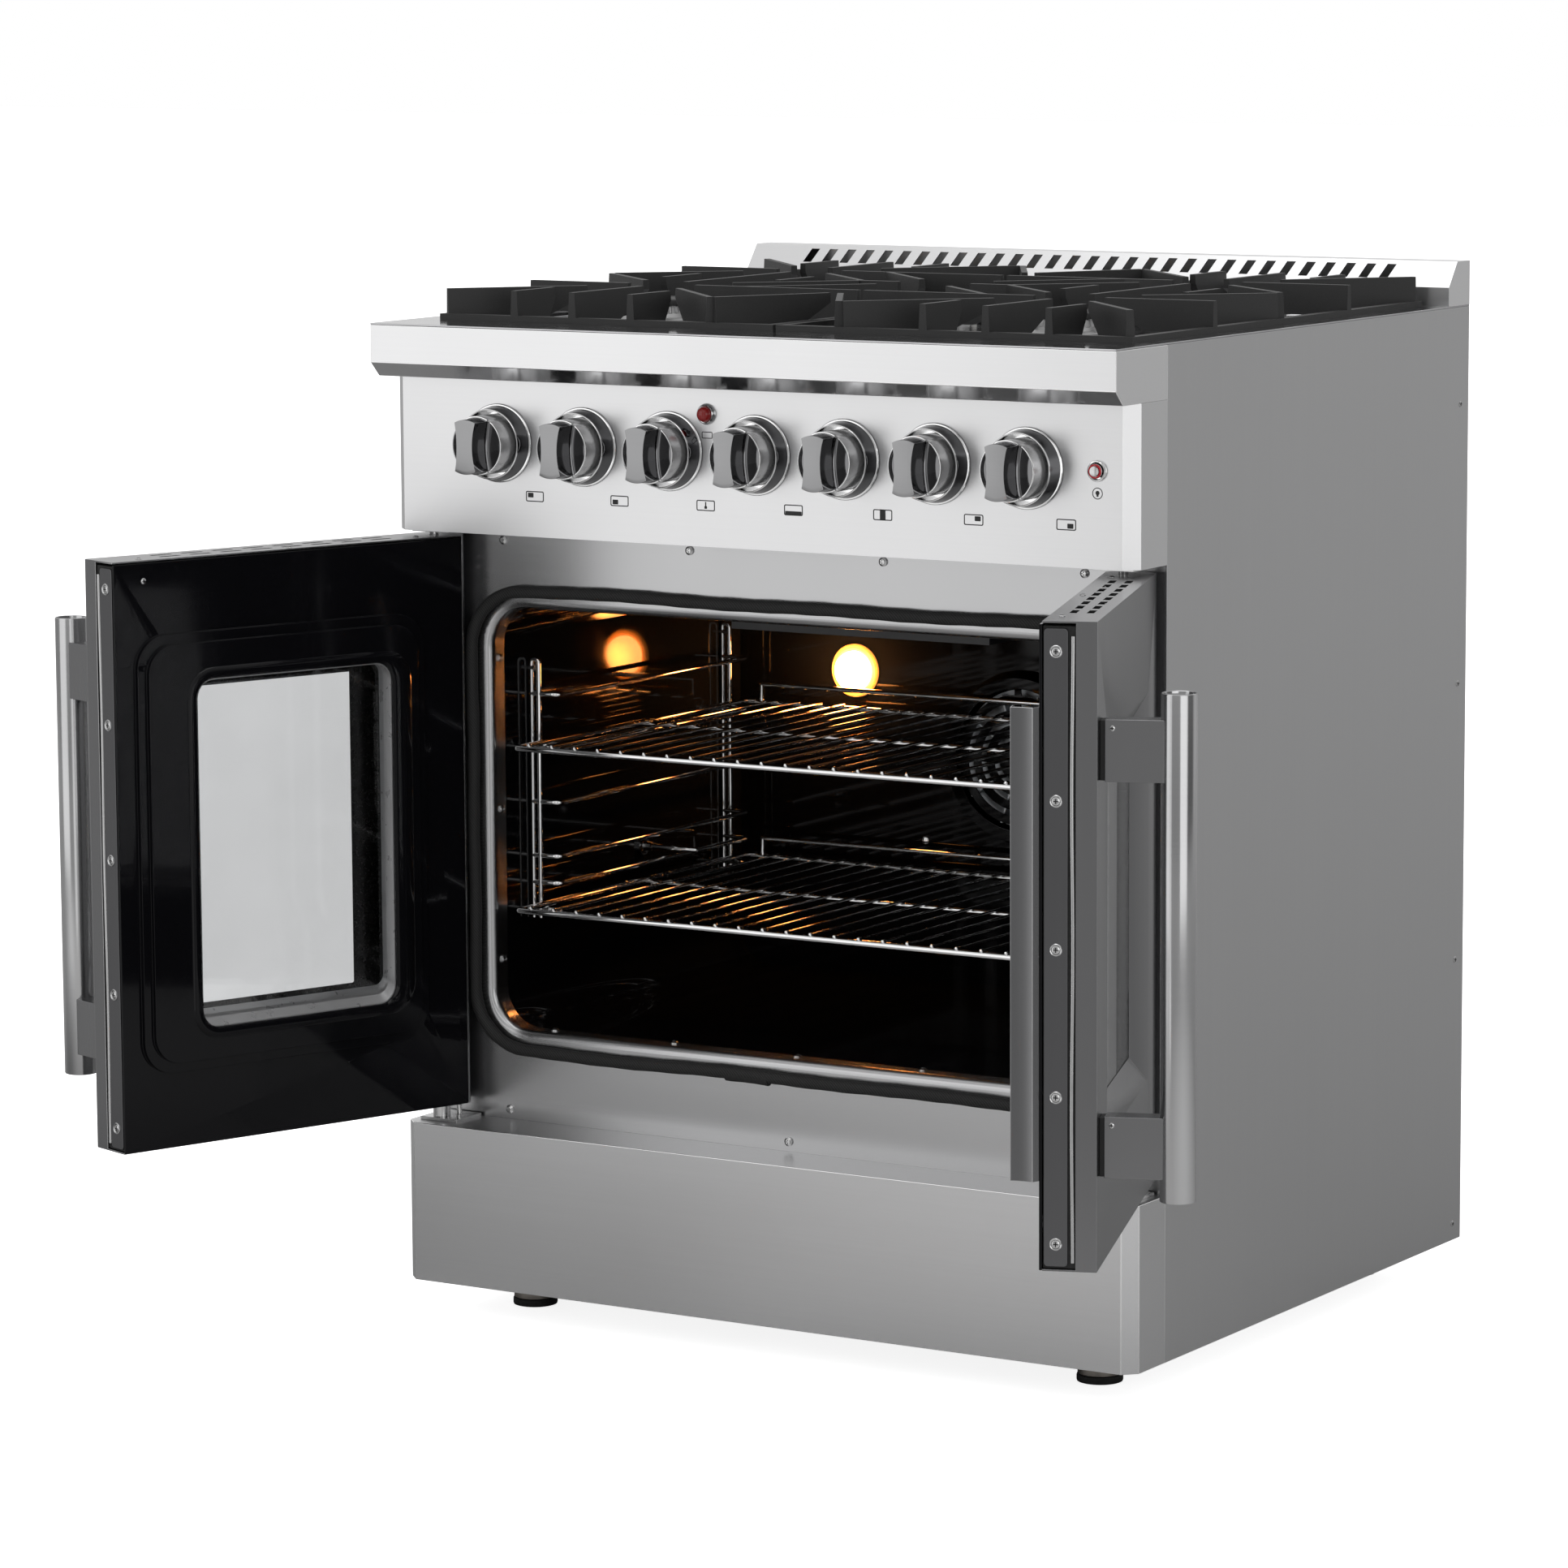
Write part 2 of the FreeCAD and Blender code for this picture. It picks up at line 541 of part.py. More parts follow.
# ---------------------------------------------------------------- controls
def knob_bezels():
    """Chrome ring behind each knob: a thin flange and a cone up to a lip, as separate solids."""
    flange, lip, bore_radius = (35.3, 34.3), (33.6, 31.4), 29.8
    flange_front = PANEL_DEPTH - 2.0
    out = Vector(0, -1, 0)
    rings = []
    for x in knob_spots():
        base = Part.makeCone(*flange, PANEL_DEPTH - flange_front, Vector(x, PANEL_DEPTH, KNOB_Z), out)
        cone = Part.makeCone(*lip, flange_front - BEZEL_FRONT, Vector(x, flange_front, KNOB_Z), out)
        bore = rod((x, PANEL_DEPTH + 1, KNOB_Z), (x, 0, KNOB_Z), bore_radius)
        rings.append(fused([base, cone]).cut(bore))
    return Part.makeCompound(rings)


def knob(x):
    """Round barrel with a waisted upright grip that stands out between two sunk recesses."""
    def disc(start, end, radius):
        return rod((x, start, KNOB_Z), (x, end, KNOB_Z), radius)

    end_z = math.sqrt(GRIP_RADIUS ** 2 - GRIP_END ** 2)
    bow = (end_z ** 2 + (GRIP_END - GRIP_WAIST) ** 2) / (2 * (GRIP_END - GRIP_WAIST))
    recess_depth, recess_radius = 3.0, GRIP_RADIUS - 0.5
    floor = KNOB_RIM + recess_depth
    bow_centres = [x - GRIP_WAIST - bow, x + GRIP_WAIST + bow]
    bows = [rod((cx, floor, KNOB_Z), (cx, KNOB_FACE, KNOB_Z), bow) for cx in bow_centres]
    grip = disc(floor, KNOB_FACE, GRIP_RADIUS).cut(bows)
    recess = disc(floor, KNOB_RIM - 1, recess_radius)
    barrel = disc(KNOB_BACK, KNOB_RIM, KNOB_RADIUS).cut(recess)
    hollow = disc(KNOB_BACK + 1, KNOB_BACK - 15, 22.5)
    bore = disc(KNOB_BACK + 1, KNOB_BACK - 24.5, STEM_RADIUS + 0.3)
    return fused([barrel, grip]).cut([hollow, bore])


def indicator_lamp():
    """Red dome in a chrome collar."""
    x, z = LAMP_SPOT
    collar = Part.makeCone(9.6, 8.4, 5, Vector(x, PANEL_DEPTH, z), Vector(0, -1, 0))
    barrel = rod((x, PANEL_DEPTH + 14, z), (x, PANEL_DEPTH, z), 5.0)
    dome = Part.makeSphere(7.5, Vector(x, PANEL_DEPTH - 3, z))
    dome = dome.common(box(grown((x, x), 10), (PANEL_DEPTH - 14, PANEL_DEPTH - 5), grown((z, z), 10)))
    return fused([collar, barrel, dome])


def light_button():
    """Cap of the oven-light push button, on its plunger."""
    x, z = BUTTON_SPOT
    cap = Part.makeCone(6.6, 6.0, 4.2, Vector(x, PANEL_DEPTH - 3.2, z), Vector(0, -1, 0))
    plunger = rod((x, PANEL_DEPTH - 3.2, z), (x, PANEL_DEPTH + 12, z), 4.2)
    return fused([cap, plunger])


# ---------------------------------------------------------------- burners and grates
def burner_spots():
    """X and depth of the five burners: four corners and the centre."""
    front, middle, rear = BURNER_DEPTHS
    return [(-BURNER_X, front), (-BURNER_X, rear), (0, middle), (BURNER_X, front), (BURNER_X, rear)]


def burner_heads():
    """Burner heads with their mixing tubes under the cooktop and an igniter beside each."""
    solids = []
    for (x, y), radius in zip(burner_spots(), CAP_RADII):
        head = rod((x, y, COOKTOP_Z - 26), (x, y, HEAD_TOP_Z), radius - 2)
        lip = rod((x, y, COOKTOP_Z - 6), (x, y, COOKTOP_Z - 2), 44.0)
        venturi = rod((x, y, COOKTOP_Z - 26), (x, y - 70, COOKTOP_Z - 26), 9.0)
        solids.append(fused([head, lip, venturi]))
        side = -1 if x > 0 else 1
        tip = (x + side * (radius + 5) * 0.7, y + (radius + 5) * 0.7)
        solids.append(rod((tip[0], tip[1], COOKTOP_Z - 2), (tip[0], tip[1], HEAD_TOP_Z - 1), 2.5))
    return Part.makeCompound(solids)


def burner_cap(spot, radius):
    """Loose cast cap with a rounded upper edge."""
    x, y = spot
    top_z = HEAD_TOP_Z + CAP_THICKNESS
    disc = rod((x, y, HEAD_TOP_Z), (x, y, top_z), radius)
    top = [e for e in disc.Edges if abs(e.BoundBox.ZMin - top_z) < 1e-6 and e.Closed]
    return disc.makeFillet(2.5, top)


def fin(start, end, undercut):
    """Upright tapered blade from its root to its tip, with its lower edge cut away towards the tip."""
    tip_height = 8.5
    a, b = Vector(*start, 0), Vector(*end, 0)
    length = (b - a).Length
    along = (b - a).normalize()
    across = Vector(-along.y, along.x, 0)
    outline = [(0, COOKTOP_Z), (0, FIN_TOP_Z), (length, FIN_TOP_Z), (length, FIN_TOP_Z - tip_height),
               (length - undercut, COOKTOP_Z)]
    foot, top = FIN_WIDTHS
    sides = []
    for side in (-0.5, 0.5):
        points = []
        for s, z in outline:
            width = foot + (top - foot) * (z - COOKTOP_Z) / (FIN_TOP_Z - COOKTOP_Z)
            points.append(a + along * s + across * (side * width) + Vector(0, 0, z))
        sides.append(Part.makePolygon(points + points[:1]))
    return Part.makeLoft(sides, True, True)


def low_bar(start, end):
    """Base bar of a grate, resting on the cooktop."""
    a, b = Vector(*start, 0), Vector(*end, 0)
    across = Vector(-(b - a).y, (b - a).x, 0).normalize() * BAR_WIDTH
    points = [a - across * 0.5, b - across * 0.5, b + across * 0.5, a + across * 0.5]
    return prism([(p.x, p.y, COOKTOP_Z) for p in points], (0, 0, BAR_TOP_Z - COOKTOP_Z))


def grate_half(flip):
    """Front half of the right-hand grate, or its rear half when flipped about the middle depth."""
    middle = BURNER_DEPTHS[1]
    front = GRATE_DEPTHS[0]
    row = BURNER_DEPTHS[0]

    def place(point):
        return (point[0], 2 * middle - point[1]) if flip else point

    seam, waist = 6.0, 80.0
    side, edge = GRATE_HALF, front + 4.5
    blades = [((side - 5, front + 5), (261, 173), 40), ((274, front), (274, 136), 12),
              ((BURNER_X, front), (BURNER_X, row - 36), 40), ((150, front), (150, 136), 12),
              ((68, front + 3), (163, 174), 40), ((64, front + 3), (6, 176), 30),
              ((side, row), (BURNER_X + 36, row), 40), ((side - 5, middle - 3), (259, 268), 40),
              ((seam - 3, row), (BURNER_X - 36, row), 60), ((waist, middle - 3), (165, 268), 40),
              ((126, row), (38, row + 88), 26), ((BURNER_X, middle), (BURNER_X, row + 39), 30),
              ((274, middle), (274, middle - 31), 12), ((150, middle), (150, middle - 31), 12)]
    bars = [((side - 4.5, front), (side - 4.5, middle)), ((side, edge), (seam - 4.5, edge)),
            ((seam, front), (seam, row + 8)), ((seam - 3, row - 2), (waist, middle - 52)),
            ((waist, middle - 56), (waist, middle))]
    solids = [fin(place(a), place(b), cut) for a, b, cut in blades]
    solids += [low_bar(place(a), place(b)) for a, b in bars]
    return solids


def grate(right):
    """One cast grate over a front and a rear burner and half of the centre one."""
    middle = BURNER_DEPTHS[1]
    solids = grate_half(False) + grate_half(True)
    solids.append(low_bar((GRATE_HALF, middle), (76, middle)))
    solids.append(fin((84, middle), (38, middle), 30))
    whole = fused(solids)
    whole = whole.common(box((1.0, GRATE_HALF), GRATE_DEPTHS, (COOKTOP_Z, FIN_TOP_Z)))
    return whole if right else mirrored(whole)


# ---------------------------------------------------------------- doors, drawn closed on the right
def door_outline(inset):
    """Plan outline of a door: square at the free edge, bevelled at the hinge side."""
    side = HALF - inset
    face = HALF - CORNER - inset * (math.sqrt(2) - 1)
    return [(DOOR_X[0] + inset, PANEL_DEPTH + inset), (face, PANEL_DEPTH + inset),
            (side, PANEL_DEPTH + CORNER + inset * (math.sqrt(2) - 1)), (side, 70.0), (side - 6, 77.0),
            (DOOR_X[0] + inset, 77.0)]


def door_skin():
    """Outer shell with a bevelled window recess, vented ends and pivot holes."""
    height = DOOR_Z[1] - DOOR_Z[0]
    shell = prism([(x, y, DOOR_Z[0]) for x, y in door_outline(0)], (0, 0, height))
    hollow = prism([(x, y, DOOR_Z[0] + SHEET) for x, y in door_outline(SHEET)], (0, 0, height - 2 * SHEET))
    back = box((DOOR_X[0] - 1, HALF - 8), (76.0, 78.0), grown(DOOR_Z, -SHEET))
    edge = box((0, DOOR_X[0] + SHEET), (50.0, 78.0), grown(DOOR_Z, -SHEET))
    shell = shell.cut([hollow, back, edge])
    recess_x, recess_z = (62.0, 318.0), (290.0, 622.0)
    bevel = frustum(recess_x, recess_z, (PANEL_DEPTH, PANEL_DEPTH + 13), 24.0)
    funnel = frustum(grown(recess_x, 2), grown(recess_z, 2), (PANEL_DEPTH, PANEL_DEPTH + 13), 24.0)
    shell = fused([shell.cut(funnel), funnel.cut(bevel)])
    cuts = [rod((HINGE_X, HINGE_DEPTH, DOOR_Z[0] - 1), (HINGE_X, HINGE_DEPTH, DOOR_Z[1] + 1), 4.4)]
    for row in (44.0, 58.0):
        for i in range(8):
            x = 60.0 + i * 32.0
            for end in DOOR_Z:
                cuts.append(box((x, x + 22.0), (row, row + 6.0), (end - 3, end + 3)))
    for z in post_levels():
        cuts.append(rod((HANDLE_X, PANEL_DEPTH - 1, z), (HANDLE_X, PANEL_DEPTH + 3, z), 3.4))
    return shell.cut(cuts)


def door_inner():
    """Enamelled inner pan with a two-step plug round the window."""
    x, z = (DOOR_X[0], 369.5), (194.5, 714.5)
    top = DOOR_INNER
    pan = box(x, (top - SHEET, top), z)
    lip = box(x, (77.0, top), z).cut(box(grown(x, -SHEET), (76.0, top - SHEET), grown(z, -SHEET)))
    steps = [(0.0, 0.0, 4.5, 30.0), (9.0, 4.5, PLUG_TOP - top, 26.0)]
    raised = [rounded(grown(PLUG_X, -i), grown(PLUG_Z, -i), (top + a - 1, top + b), r)
              for i, a, b, r in steps]
    hollows = [rounded(grown(PLUG_X, -i - SHEET), grown(PLUG_Z, -i - SHEET),
                       (top + a - 3, top + b - SHEET), r - SHEET) for i, a, b, r in steps]
    lip_ring = rounded(grown(WINDOW_X, 6), grown(WINDOW_Z, 6), (77.0, PLUG_TOP), 26.0)
    window = rounded(WINDOW_X, WINDOW_Z, (70.0, PLUG_TOP + 1), 20.0)
    shell = fused([pan, lip] + raised).cut(hollows)
    return fused([shell, lip_ring]).cut(window)


def door_glass():
    """Outer and inner window panes, as two separate solids."""
    outer = box((80.0, 300.0), (46.3, 50.3), (308.0, 604.0))
    inner = box((70.5, 308.5), (72.5, 76.5), (290.5, 617.5))
    return Part.makeCompound([outer, inner])


def edge_strip():
    """Folded channel that closes the free edge of a door."""
    x, y, z = (DOOR_X[0], 16.0), (51.0, 75.4), (197.0, 711.5)
    channel = box(x, y, z).cut(box((x[0] + SHEET, x[1] + 1), grown(y, -SHEET), grown(z, 1)))
    holes = [rod((0, 66.0, lv), (5, 66.0, lv), 2.6) for lv in edge_screw_levels()]
    return channel.cut(holes)


def edge_screw_levels():
    """Heights of the five screws in a door's free edge."""
    return [216.0 + 119.2 * i for i in range(5)]


def post_levels():
    """Heights of the two handle posts."""
    return (293.5, 613.0)


def handle_tube():
    """Round handle bar with closed ends."""
    axis = (HANDLE_X, HANDLE_DEPTH)
    tube = rod((*axis, HANDLE_Z[0]), (*axis, HANDLE_Z[1]), HANDLE_RADIUS)
    tube = tube.makeFillet(0.8, [e for e in tube.Edges if e.BoundBox.ZLength < 1e-6])
    return tube.cut(rod((*axis, HANDLE_Z[0] + 3), (*axis, HANDLE_Z[1] - 3), HANDLE_RADIUS - 2))


def handle_posts():
    """Two square posts cut to the handle bar, each on a thin spacer pad."""
    solids = []
    bar = rod((HANDLE_X, HANDLE_DEPTH, 0), (HANDLE_X, HANDLE_DEPTH, 900), HANDLE_RADIUS)
    x = grown((HANDLE_X, HANDLE_X), 10.0)
    for z in post_levels():
        zs = grown((z, z), 25.0)
        post = box(x, (HANDLE_DEPTH + 4, PANEL_DEPTH - 4), zs).cut(bar)
        keep = box(x, (HANDLE_DEPTH + 5, PANEL_DEPTH - 4), zs)
        solids.append(post.common(keep))
        solids.append(box(grown(x, -1), (PANEL_DEPTH - 4, PANEL_DEPTH), grown(zs, -1)))
    return Part.makeCompound(solids)


def centre_strip():
    """Folded strip on the right door; its ridge reaches behind the left door and covers the gap."""
    z = (267.0, 648.5)
    sheet = 1.2
    end = DOOR_INNER + 23.0
    face = [(17.0, DOOR_INNER), (DOOR_GAP, DOOR_INNER), (-3.5, 84.0), (0.0, 96.0), (0.0, end), (11.0, end)]
    back = [(11.0, end - sheet), (sheet, end - sheet), (sheet, 95.8), (-2.2, 84.2),
            (DOOR_GAP + 0.6, DOOR_INNER + sheet), (17.0, DOOR_INNER + sheet)]
    return prism([(x, y, z[0]) for x, y in face + back], (0, 0, z[1] - z[0]))


def hinge_mounts():
    """Upper and lower pivot plates with their pins for both doors, as separate solids."""
    solids = []
    for side in (-1, 1):
        x = side * HINGE_X
        plate_x = grown((x - side * 4, x - side * 4), 20.0)
        low = box(plate_x, (48.0, 88.0), (KICK_Z[1], KICK_Z[1] + 3))
        pin = rod((x, HINGE_DEPTH, KICK_Z[1]), (x, HINGE_DEPTH, DOOR_Z[0] + 10), 4.0)
        washer = rod((x, HINGE_DEPTH, KICK_Z[1]), (x, HINGE_DEPTH, DOOR_Z[0] - 0.3), 8.0)
        guide = rod((x - side * 9, HINGE_DEPTH + 15, KICK_Z[1]), (x - side * 9, HINGE_DEPTH + 15, 191.0), 2.5)
        solids.append(fused([low, pin, washer, guide]))
        top = box(plate_x, (48.0, 88.0), (CONTROL_Z[0] - 2.5, CONTROL_Z[0]))
        pin = rod((x, HINGE_DEPTH, CONTROL_Z[0]), (x, HINGE_DEPTH, DOOR_Z[1] - 10), 4.0)
        solids.append(fused([top, pin]))
    return Part.makeCompound(solids)


def hung(shape, side):
    """Closed right-hand door piece, put on its side of the range and swung open."""
    piece = shape if side == "right" else mirrored(shape)
    pivot = Vector(HINGE_X if side == "right" else -HINGE_X, HINGE_DEPTH, 0)
    piece = piece.copy()
    piece.rotate(pivot, Vector(0, 0, 1), DOOR_OPEN[side])
    return piece


# ---------------------------------------------------------------- feet
def foot(x, y):
    """Levelling foot: round base, collar and threaded stem."""
    base = rod((x, y, 0), (x, y, 7), FOOT_RADIUS)
    collar = rod((x, y, 7), (x, y, 31), FOOT_RADIUS - 0.8)
    stem = rod((x, y, 31), (x, y, 66), 6.0)
    return fused([base, collar, stem])


# ---------------------------------------------------------------- write every piece
def cabinet_pieces():
    """Pieces that stay still, by node name."""
    return {
        "side_panels": both_sides(side_panel()),
        "back_panel": back_panel(),
        "base_pan": base_pan(),
        "front_frame": front_frame(),
        "front_screws": front_screws(),
        "bullnose_rail": bullnose_rail(),
        "control_panel": control_panel(),
        "kick_panel": kick_panel(),
        "cooktop": cooktop(),
        "backguard": backguard(),
        "hinge_mounts": hinge_mounts(),
        "oven_liner": oven_liner(),
        "oven_insulation": oven_insulation(),
        "door_gasket": door_gasket(),
        "rack_supports": both_sides(rack_support()),
        "fan_cover": fan_cover(),
        "fan_motor": fan_motor(),
        "oven_lamp": oven_lamp(),
        "oven_burners": oven_burners(),
        "gas_supply": gas_supply(),
        "gas_valves": gas_valves(),
        "power_inlet": power_inlet(),
        "knob_bezels": knob_bezels(),
        "indicator_lamp": indicator_lamp(),
        "burner_heads": burner_heads(),
    }


def moving_pieces():
    """Pieces that move, by node name."""
    pieces = {
        "light_button": light_button(),
        "fan_wheel": fan_wheel(),
        "rack_lower": rack(RACK_LEVELS[0]),
        "rack_upper": rack(RACK_LEVELS[1]),
        "grate_left": grate(False),
        "grate_right": grate(True),
        "centre_strip": hung(centre_strip(), "right"),
    }
    for side in ("left", "right"):
        pieces["door_skin_" + side] = hung(door_skin(), side)
        pieces["door_inner_" + side] = hung(door_inner(), side)
        pieces["door_glass_" + side] = hung(door_glass(), side)
        pieces["edge_strip_" + side] = hung(edge_strip(), side)
        pieces["handle_" + side] = hung(handle_tube(), side)
        pieces["handle_posts_" + side] = hung(handle_posts(), side)
    for name, x in zip(KNOB_NAMES, knob_spots()):
        pieces["knob_" + name] = knob(x)
    for name, spot, radius in zip(CAP_NAMES, burner_spots(), CAP_RADII):
        pieces["burner_cap_" + name] = burner_cap(spot, radius)
    for name, spot in zip(("front_left", "front_right", "rear_left", "rear_right"), foot_spots()):
        pieces["foot_" + name] = foot(*spot)
    return pieces


os.makedirs("parts", exist_ok=True)
everything = {**cabinet_pieces(), **moving_pieces()}
for node, shape in everything.items():
    write(shape, node)
    print(node, len(shape.Solids), shape.isValid(), round(shape.Volume / 1000, 2))
print(len(everything), "nodes")
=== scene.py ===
import json
import math

import bmesh
import bpy
from mathutils import Matrix, Vector

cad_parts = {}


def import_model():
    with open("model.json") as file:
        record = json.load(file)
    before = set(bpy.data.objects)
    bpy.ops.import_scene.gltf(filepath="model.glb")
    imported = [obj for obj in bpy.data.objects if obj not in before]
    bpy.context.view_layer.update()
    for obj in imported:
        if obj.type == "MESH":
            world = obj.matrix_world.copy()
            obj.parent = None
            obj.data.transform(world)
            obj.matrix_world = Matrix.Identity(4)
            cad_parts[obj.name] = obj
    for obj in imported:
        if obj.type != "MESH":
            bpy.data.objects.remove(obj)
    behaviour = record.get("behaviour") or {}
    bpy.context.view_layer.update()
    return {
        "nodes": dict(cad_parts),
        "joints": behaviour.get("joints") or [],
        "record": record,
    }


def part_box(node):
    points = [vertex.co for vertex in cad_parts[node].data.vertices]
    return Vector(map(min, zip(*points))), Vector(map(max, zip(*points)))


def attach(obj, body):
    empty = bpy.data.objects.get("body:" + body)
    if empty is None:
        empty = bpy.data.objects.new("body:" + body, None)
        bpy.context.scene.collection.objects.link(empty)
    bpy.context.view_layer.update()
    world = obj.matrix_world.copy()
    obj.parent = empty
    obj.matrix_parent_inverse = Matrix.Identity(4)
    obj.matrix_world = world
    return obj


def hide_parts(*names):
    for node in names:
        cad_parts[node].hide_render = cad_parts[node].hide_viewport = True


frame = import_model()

MM = 0.001

# Lengths in this file are millimetres unless a comment says metres. Depth is Y in the frame.
JOINTS = {j["name"]: j for j in frame["joints"]}
BODY_OF = {n: b for b, nodes in frame["record"]["behaviour"]["bodies"].items() for n in nodes}
SLOT_OF = {s["node"]: s["material_slot"] for s in frame["record"]["subparts"]}
THROUGH_GLASS = 0.32               # how far what is seen through the windows turns to the white backdrop


# ---- node materials
class Graph:
    """Small helper round the node tree of one material, or of the world."""

    def __init__(self, name, owners=bpy.data.materials, shader="Principled BSDF", place="Object"):
        self.owner = owners.new(name)
        self.owner.use_nodes = True
        self.tree = self.owner.node_tree
        self.shader = self.tree.nodes[shader]
        self.place = self.node("ShaderNodeTexCoord").outputs[place]

    def feed(self, target, value):
        """Links a socket to an input, or sets the input to a plain value."""
        if isinstance(value, bpy.types.NodeSocket):
            self.tree.links.new(value, target)
        else:
            target.default_value = value

    def node(self, kind, inputs=None, **settings):
        """A node with its settings made and its inputs fed, by name or by number."""
        made = self.tree.nodes.new(kind)
        for key, value in settings.items():
            setattr(made, key, value)
        for key, value in (inputs or {}).items():
            self.feed(made.inputs[key], value)
        return made

    def set(self, **values):
        """Feeds the shader's own inputs."""
        for key, value in values.items():
            self.feed(self.shader.inputs[key.replace("_", " ")], value)

    def scaled(self, scale=(1, 1, 1)):
        return self.node("ShaderNodeMapping", {"Vector": self.place, "Scale": scale}).outputs["Vector"]

    def noise(self, scale, detail=4.0, roughness=0.6, stretch=(1, 1, 1)):
        inputs = {"Vector": self.scaled(stretch), "Scale": scale, "Detail": detail, "Roughness": roughness}
        return self.node("ShaderNodeTexNoise", inputs).outputs["Fac"]

    def cells(self, scale):
        """Outputs of a cell pattern for flecks and spangles."""
        return self.node("ShaderNodeTexVoronoi", {"Vector": self.scaled(), "Scale": scale}).outputs

    def ramp(self, source, low, high, a, b):
        """Maps source from low..high to the values or colours a..b."""
        if isinstance(a, (int, float)):
            inputs = {"Value": source, "From Min": low, "From Max": high, "To Min": a, "To Max": b}
            return self.node("ShaderNodeMapRange", inputs).outputs["Result"]
        made = self.node("ShaderNodeValToRGB", {"Fac": source})
        for element, position, colour in zip(made.color_ramp.elements, (low, high), (a, b)):
            element.position = position
            element.color = (*colour, 1)
        return made.outputs["Color"]

    def calc(self, operation, *values, clamp=False):
        """Sum, product and the like of sockets or plain numbers."""
        inputs = dict(enumerate(values))
        return self.node("ShaderNodeMath", inputs, operation=operation, use_clamp=clamp).outputs["Value"]

    def measure(self, operation, *points):
        """Length of the place, or its distance or dot product with a point."""
        inputs = dict(enumerate((self.place, *points)))
        return self.node("ShaderNodeVectorMath", inputs, operation=operation).outputs["Value"]

    def seen(self):
        """1 straight in the camera's view, THROUGH_GLASS behind the windows and 0 in reflections."""
        path = self.node("ShaderNodeLightPath").outputs
        through, straight = path["Is Transmission Ray"], path["Is Camera Ray"]
        return self.calc("MULTIPLY_ADD", through, THROUGH_GLASS, straight, clamp=True)

    def bump(self, height, strength, distance_mm, normal=None):
        inputs = {"Strength": strength, "Distance": distance_mm * MM, "Height": height}
        if normal is not None:
            inputs["Normal"] = normal
        return self.node("ShaderNodeBump", inputs).outputs["Normal"]


def grey(level, blue=0.005):
    """A grey that leans a little to blue."""
    return (level, level, level + blue)


def times(tone, factor):
    """A colour made darker or lighter."""
    return tuple(c * factor for c in tone)


def brushed(name, tone, rough, grain="x", strength=0.12, metallic=1.0):
    """Brushed stainless steel: streaks run along one axis, with broad faint clouding."""
    g = Graph(name)
    long, fine = 3.0, 420.0
    stretch = {"x": (long, fine, fine), "z": (fine, fine, long), "ring": (long, long, fine)}[grain]
    streaks = g.noise(1.0, 3.0, 0.65, stretch)
    streaked = g.ramp(streaks, 0.3, 0.7, rough * 0.97, rough * 1.03)
    clouded = g.ramp(g.noise(5.0, 2.0, 0.5), 0.3, 0.7, -0.015, 0.015)
    g.set(Base_Color=g.ramp(streaks, 0.30, 0.70, times(tone, 0.98), tone), Metallic=metallic,
          Roughness=g.calc("ADD", streaked, clouded), Normal=g.bump(streaks, strength, 0.02))
    return g.owner


def polished(name, tone, rough, metallic=1.0):
    """Bright metal with faint wipe marks."""
    g = Graph(name)
    smear = g.noise(60.0, 4.0, 0.6)
    g.set(Base_Color=g.ramp(smear, 0.3, 0.7, times(tone, 0.95), tone), Metallic=metallic,
          Roughness=g.ramp(smear, 0.3, 0.75, rough * 0.7, rough * 1.5),
          Normal=g.bump(g.noise(900.0, 2.0), 0.02, 0.01))
    return g.owner


def enamel(name, tone=(0.004, 0.004, 0.005), fleck=0.0, rough=0.06, shine=0.3):
    """Black porcelain enamel: deep gloss with slight orange peel and sparse light flecks."""
    g = Graph(name)
    g.set(Base_Color=g.ramp(g.cells(330.0)["Distance"], 0.03, 0.10, (fleck, fleck, fleck), tone),
          Roughness=g.ramp(g.noise(35.0, 3.0), 0.3, 0.7, rough * 0.7, rough * 1.6),
          Normal=g.bump(g.noise(140.0, 2.0, 0.5), 0.06, 0.05),
          Specular_IOR_Level=shine, Coat_Weight=shine * 0.4, Coat_Roughness=0.03)
    return g.owner


def cast_iron(name, tone, rough=0.55, grain_mm=0.16):
    """Sand-cast iron under matte black enamel: fine pitted grain."""
    g = Graph(name)
    grain = g.noise(900.0, 6.0, 0.7)
    broad = g.bump(g.noise(90.0, 3.0, 0.6), 0.25, grain_mm * 2)
    g.set(Base_Color=g.ramp(grain, 0.35, 0.75, tone, times(tone, 2.0)),
          Roughness=g.ramp(grain, 0.3, 0.7, rough * 0.8, rough * 1.15),
          Normal=g.bump(grain, 0.5, grain_mm, broad))
    return g.owner


def painted(name, tone, rough=0.4, peel=0.05):
    """Baked paint or zinc with a slight orange peel and faint unevenness."""
    g = Graph(name)
    cloud = g.noise(7.0, 4.0, 0.55)
    peel_noise = g.noise(420.0, 2.0, 0.5)
    g.set(Base_Color=g.ramp(cloud, 0.3, 0.7, times(tone, 0.94), tone),
          Roughness=g.ramp(peel_noise, 0.3, 0.7, rough * 0.9, rough * 1.15),
          Normal=g.bump(peel_noise, peel, 0.05))
    return g.owner


def galvanised(name):
    """Zinc-coated sheet with large faint spangles."""
    g = Graph(name)
    spangle = g.cells(70.0)["Color"]
    g.set(Base_Color=g.ramp(spangle, 0.0, 1.0, (0.42, 0.44, 0.46), (0.60, 0.62, 0.64)),
          Roughness=g.ramp(spangle, 0.0, 1.0, 0.36, 0.5),
          Normal=g.bump(g.noise(300.0, 3.0), 0.05, 0.05), Metallic=0.85)
    return g.owner


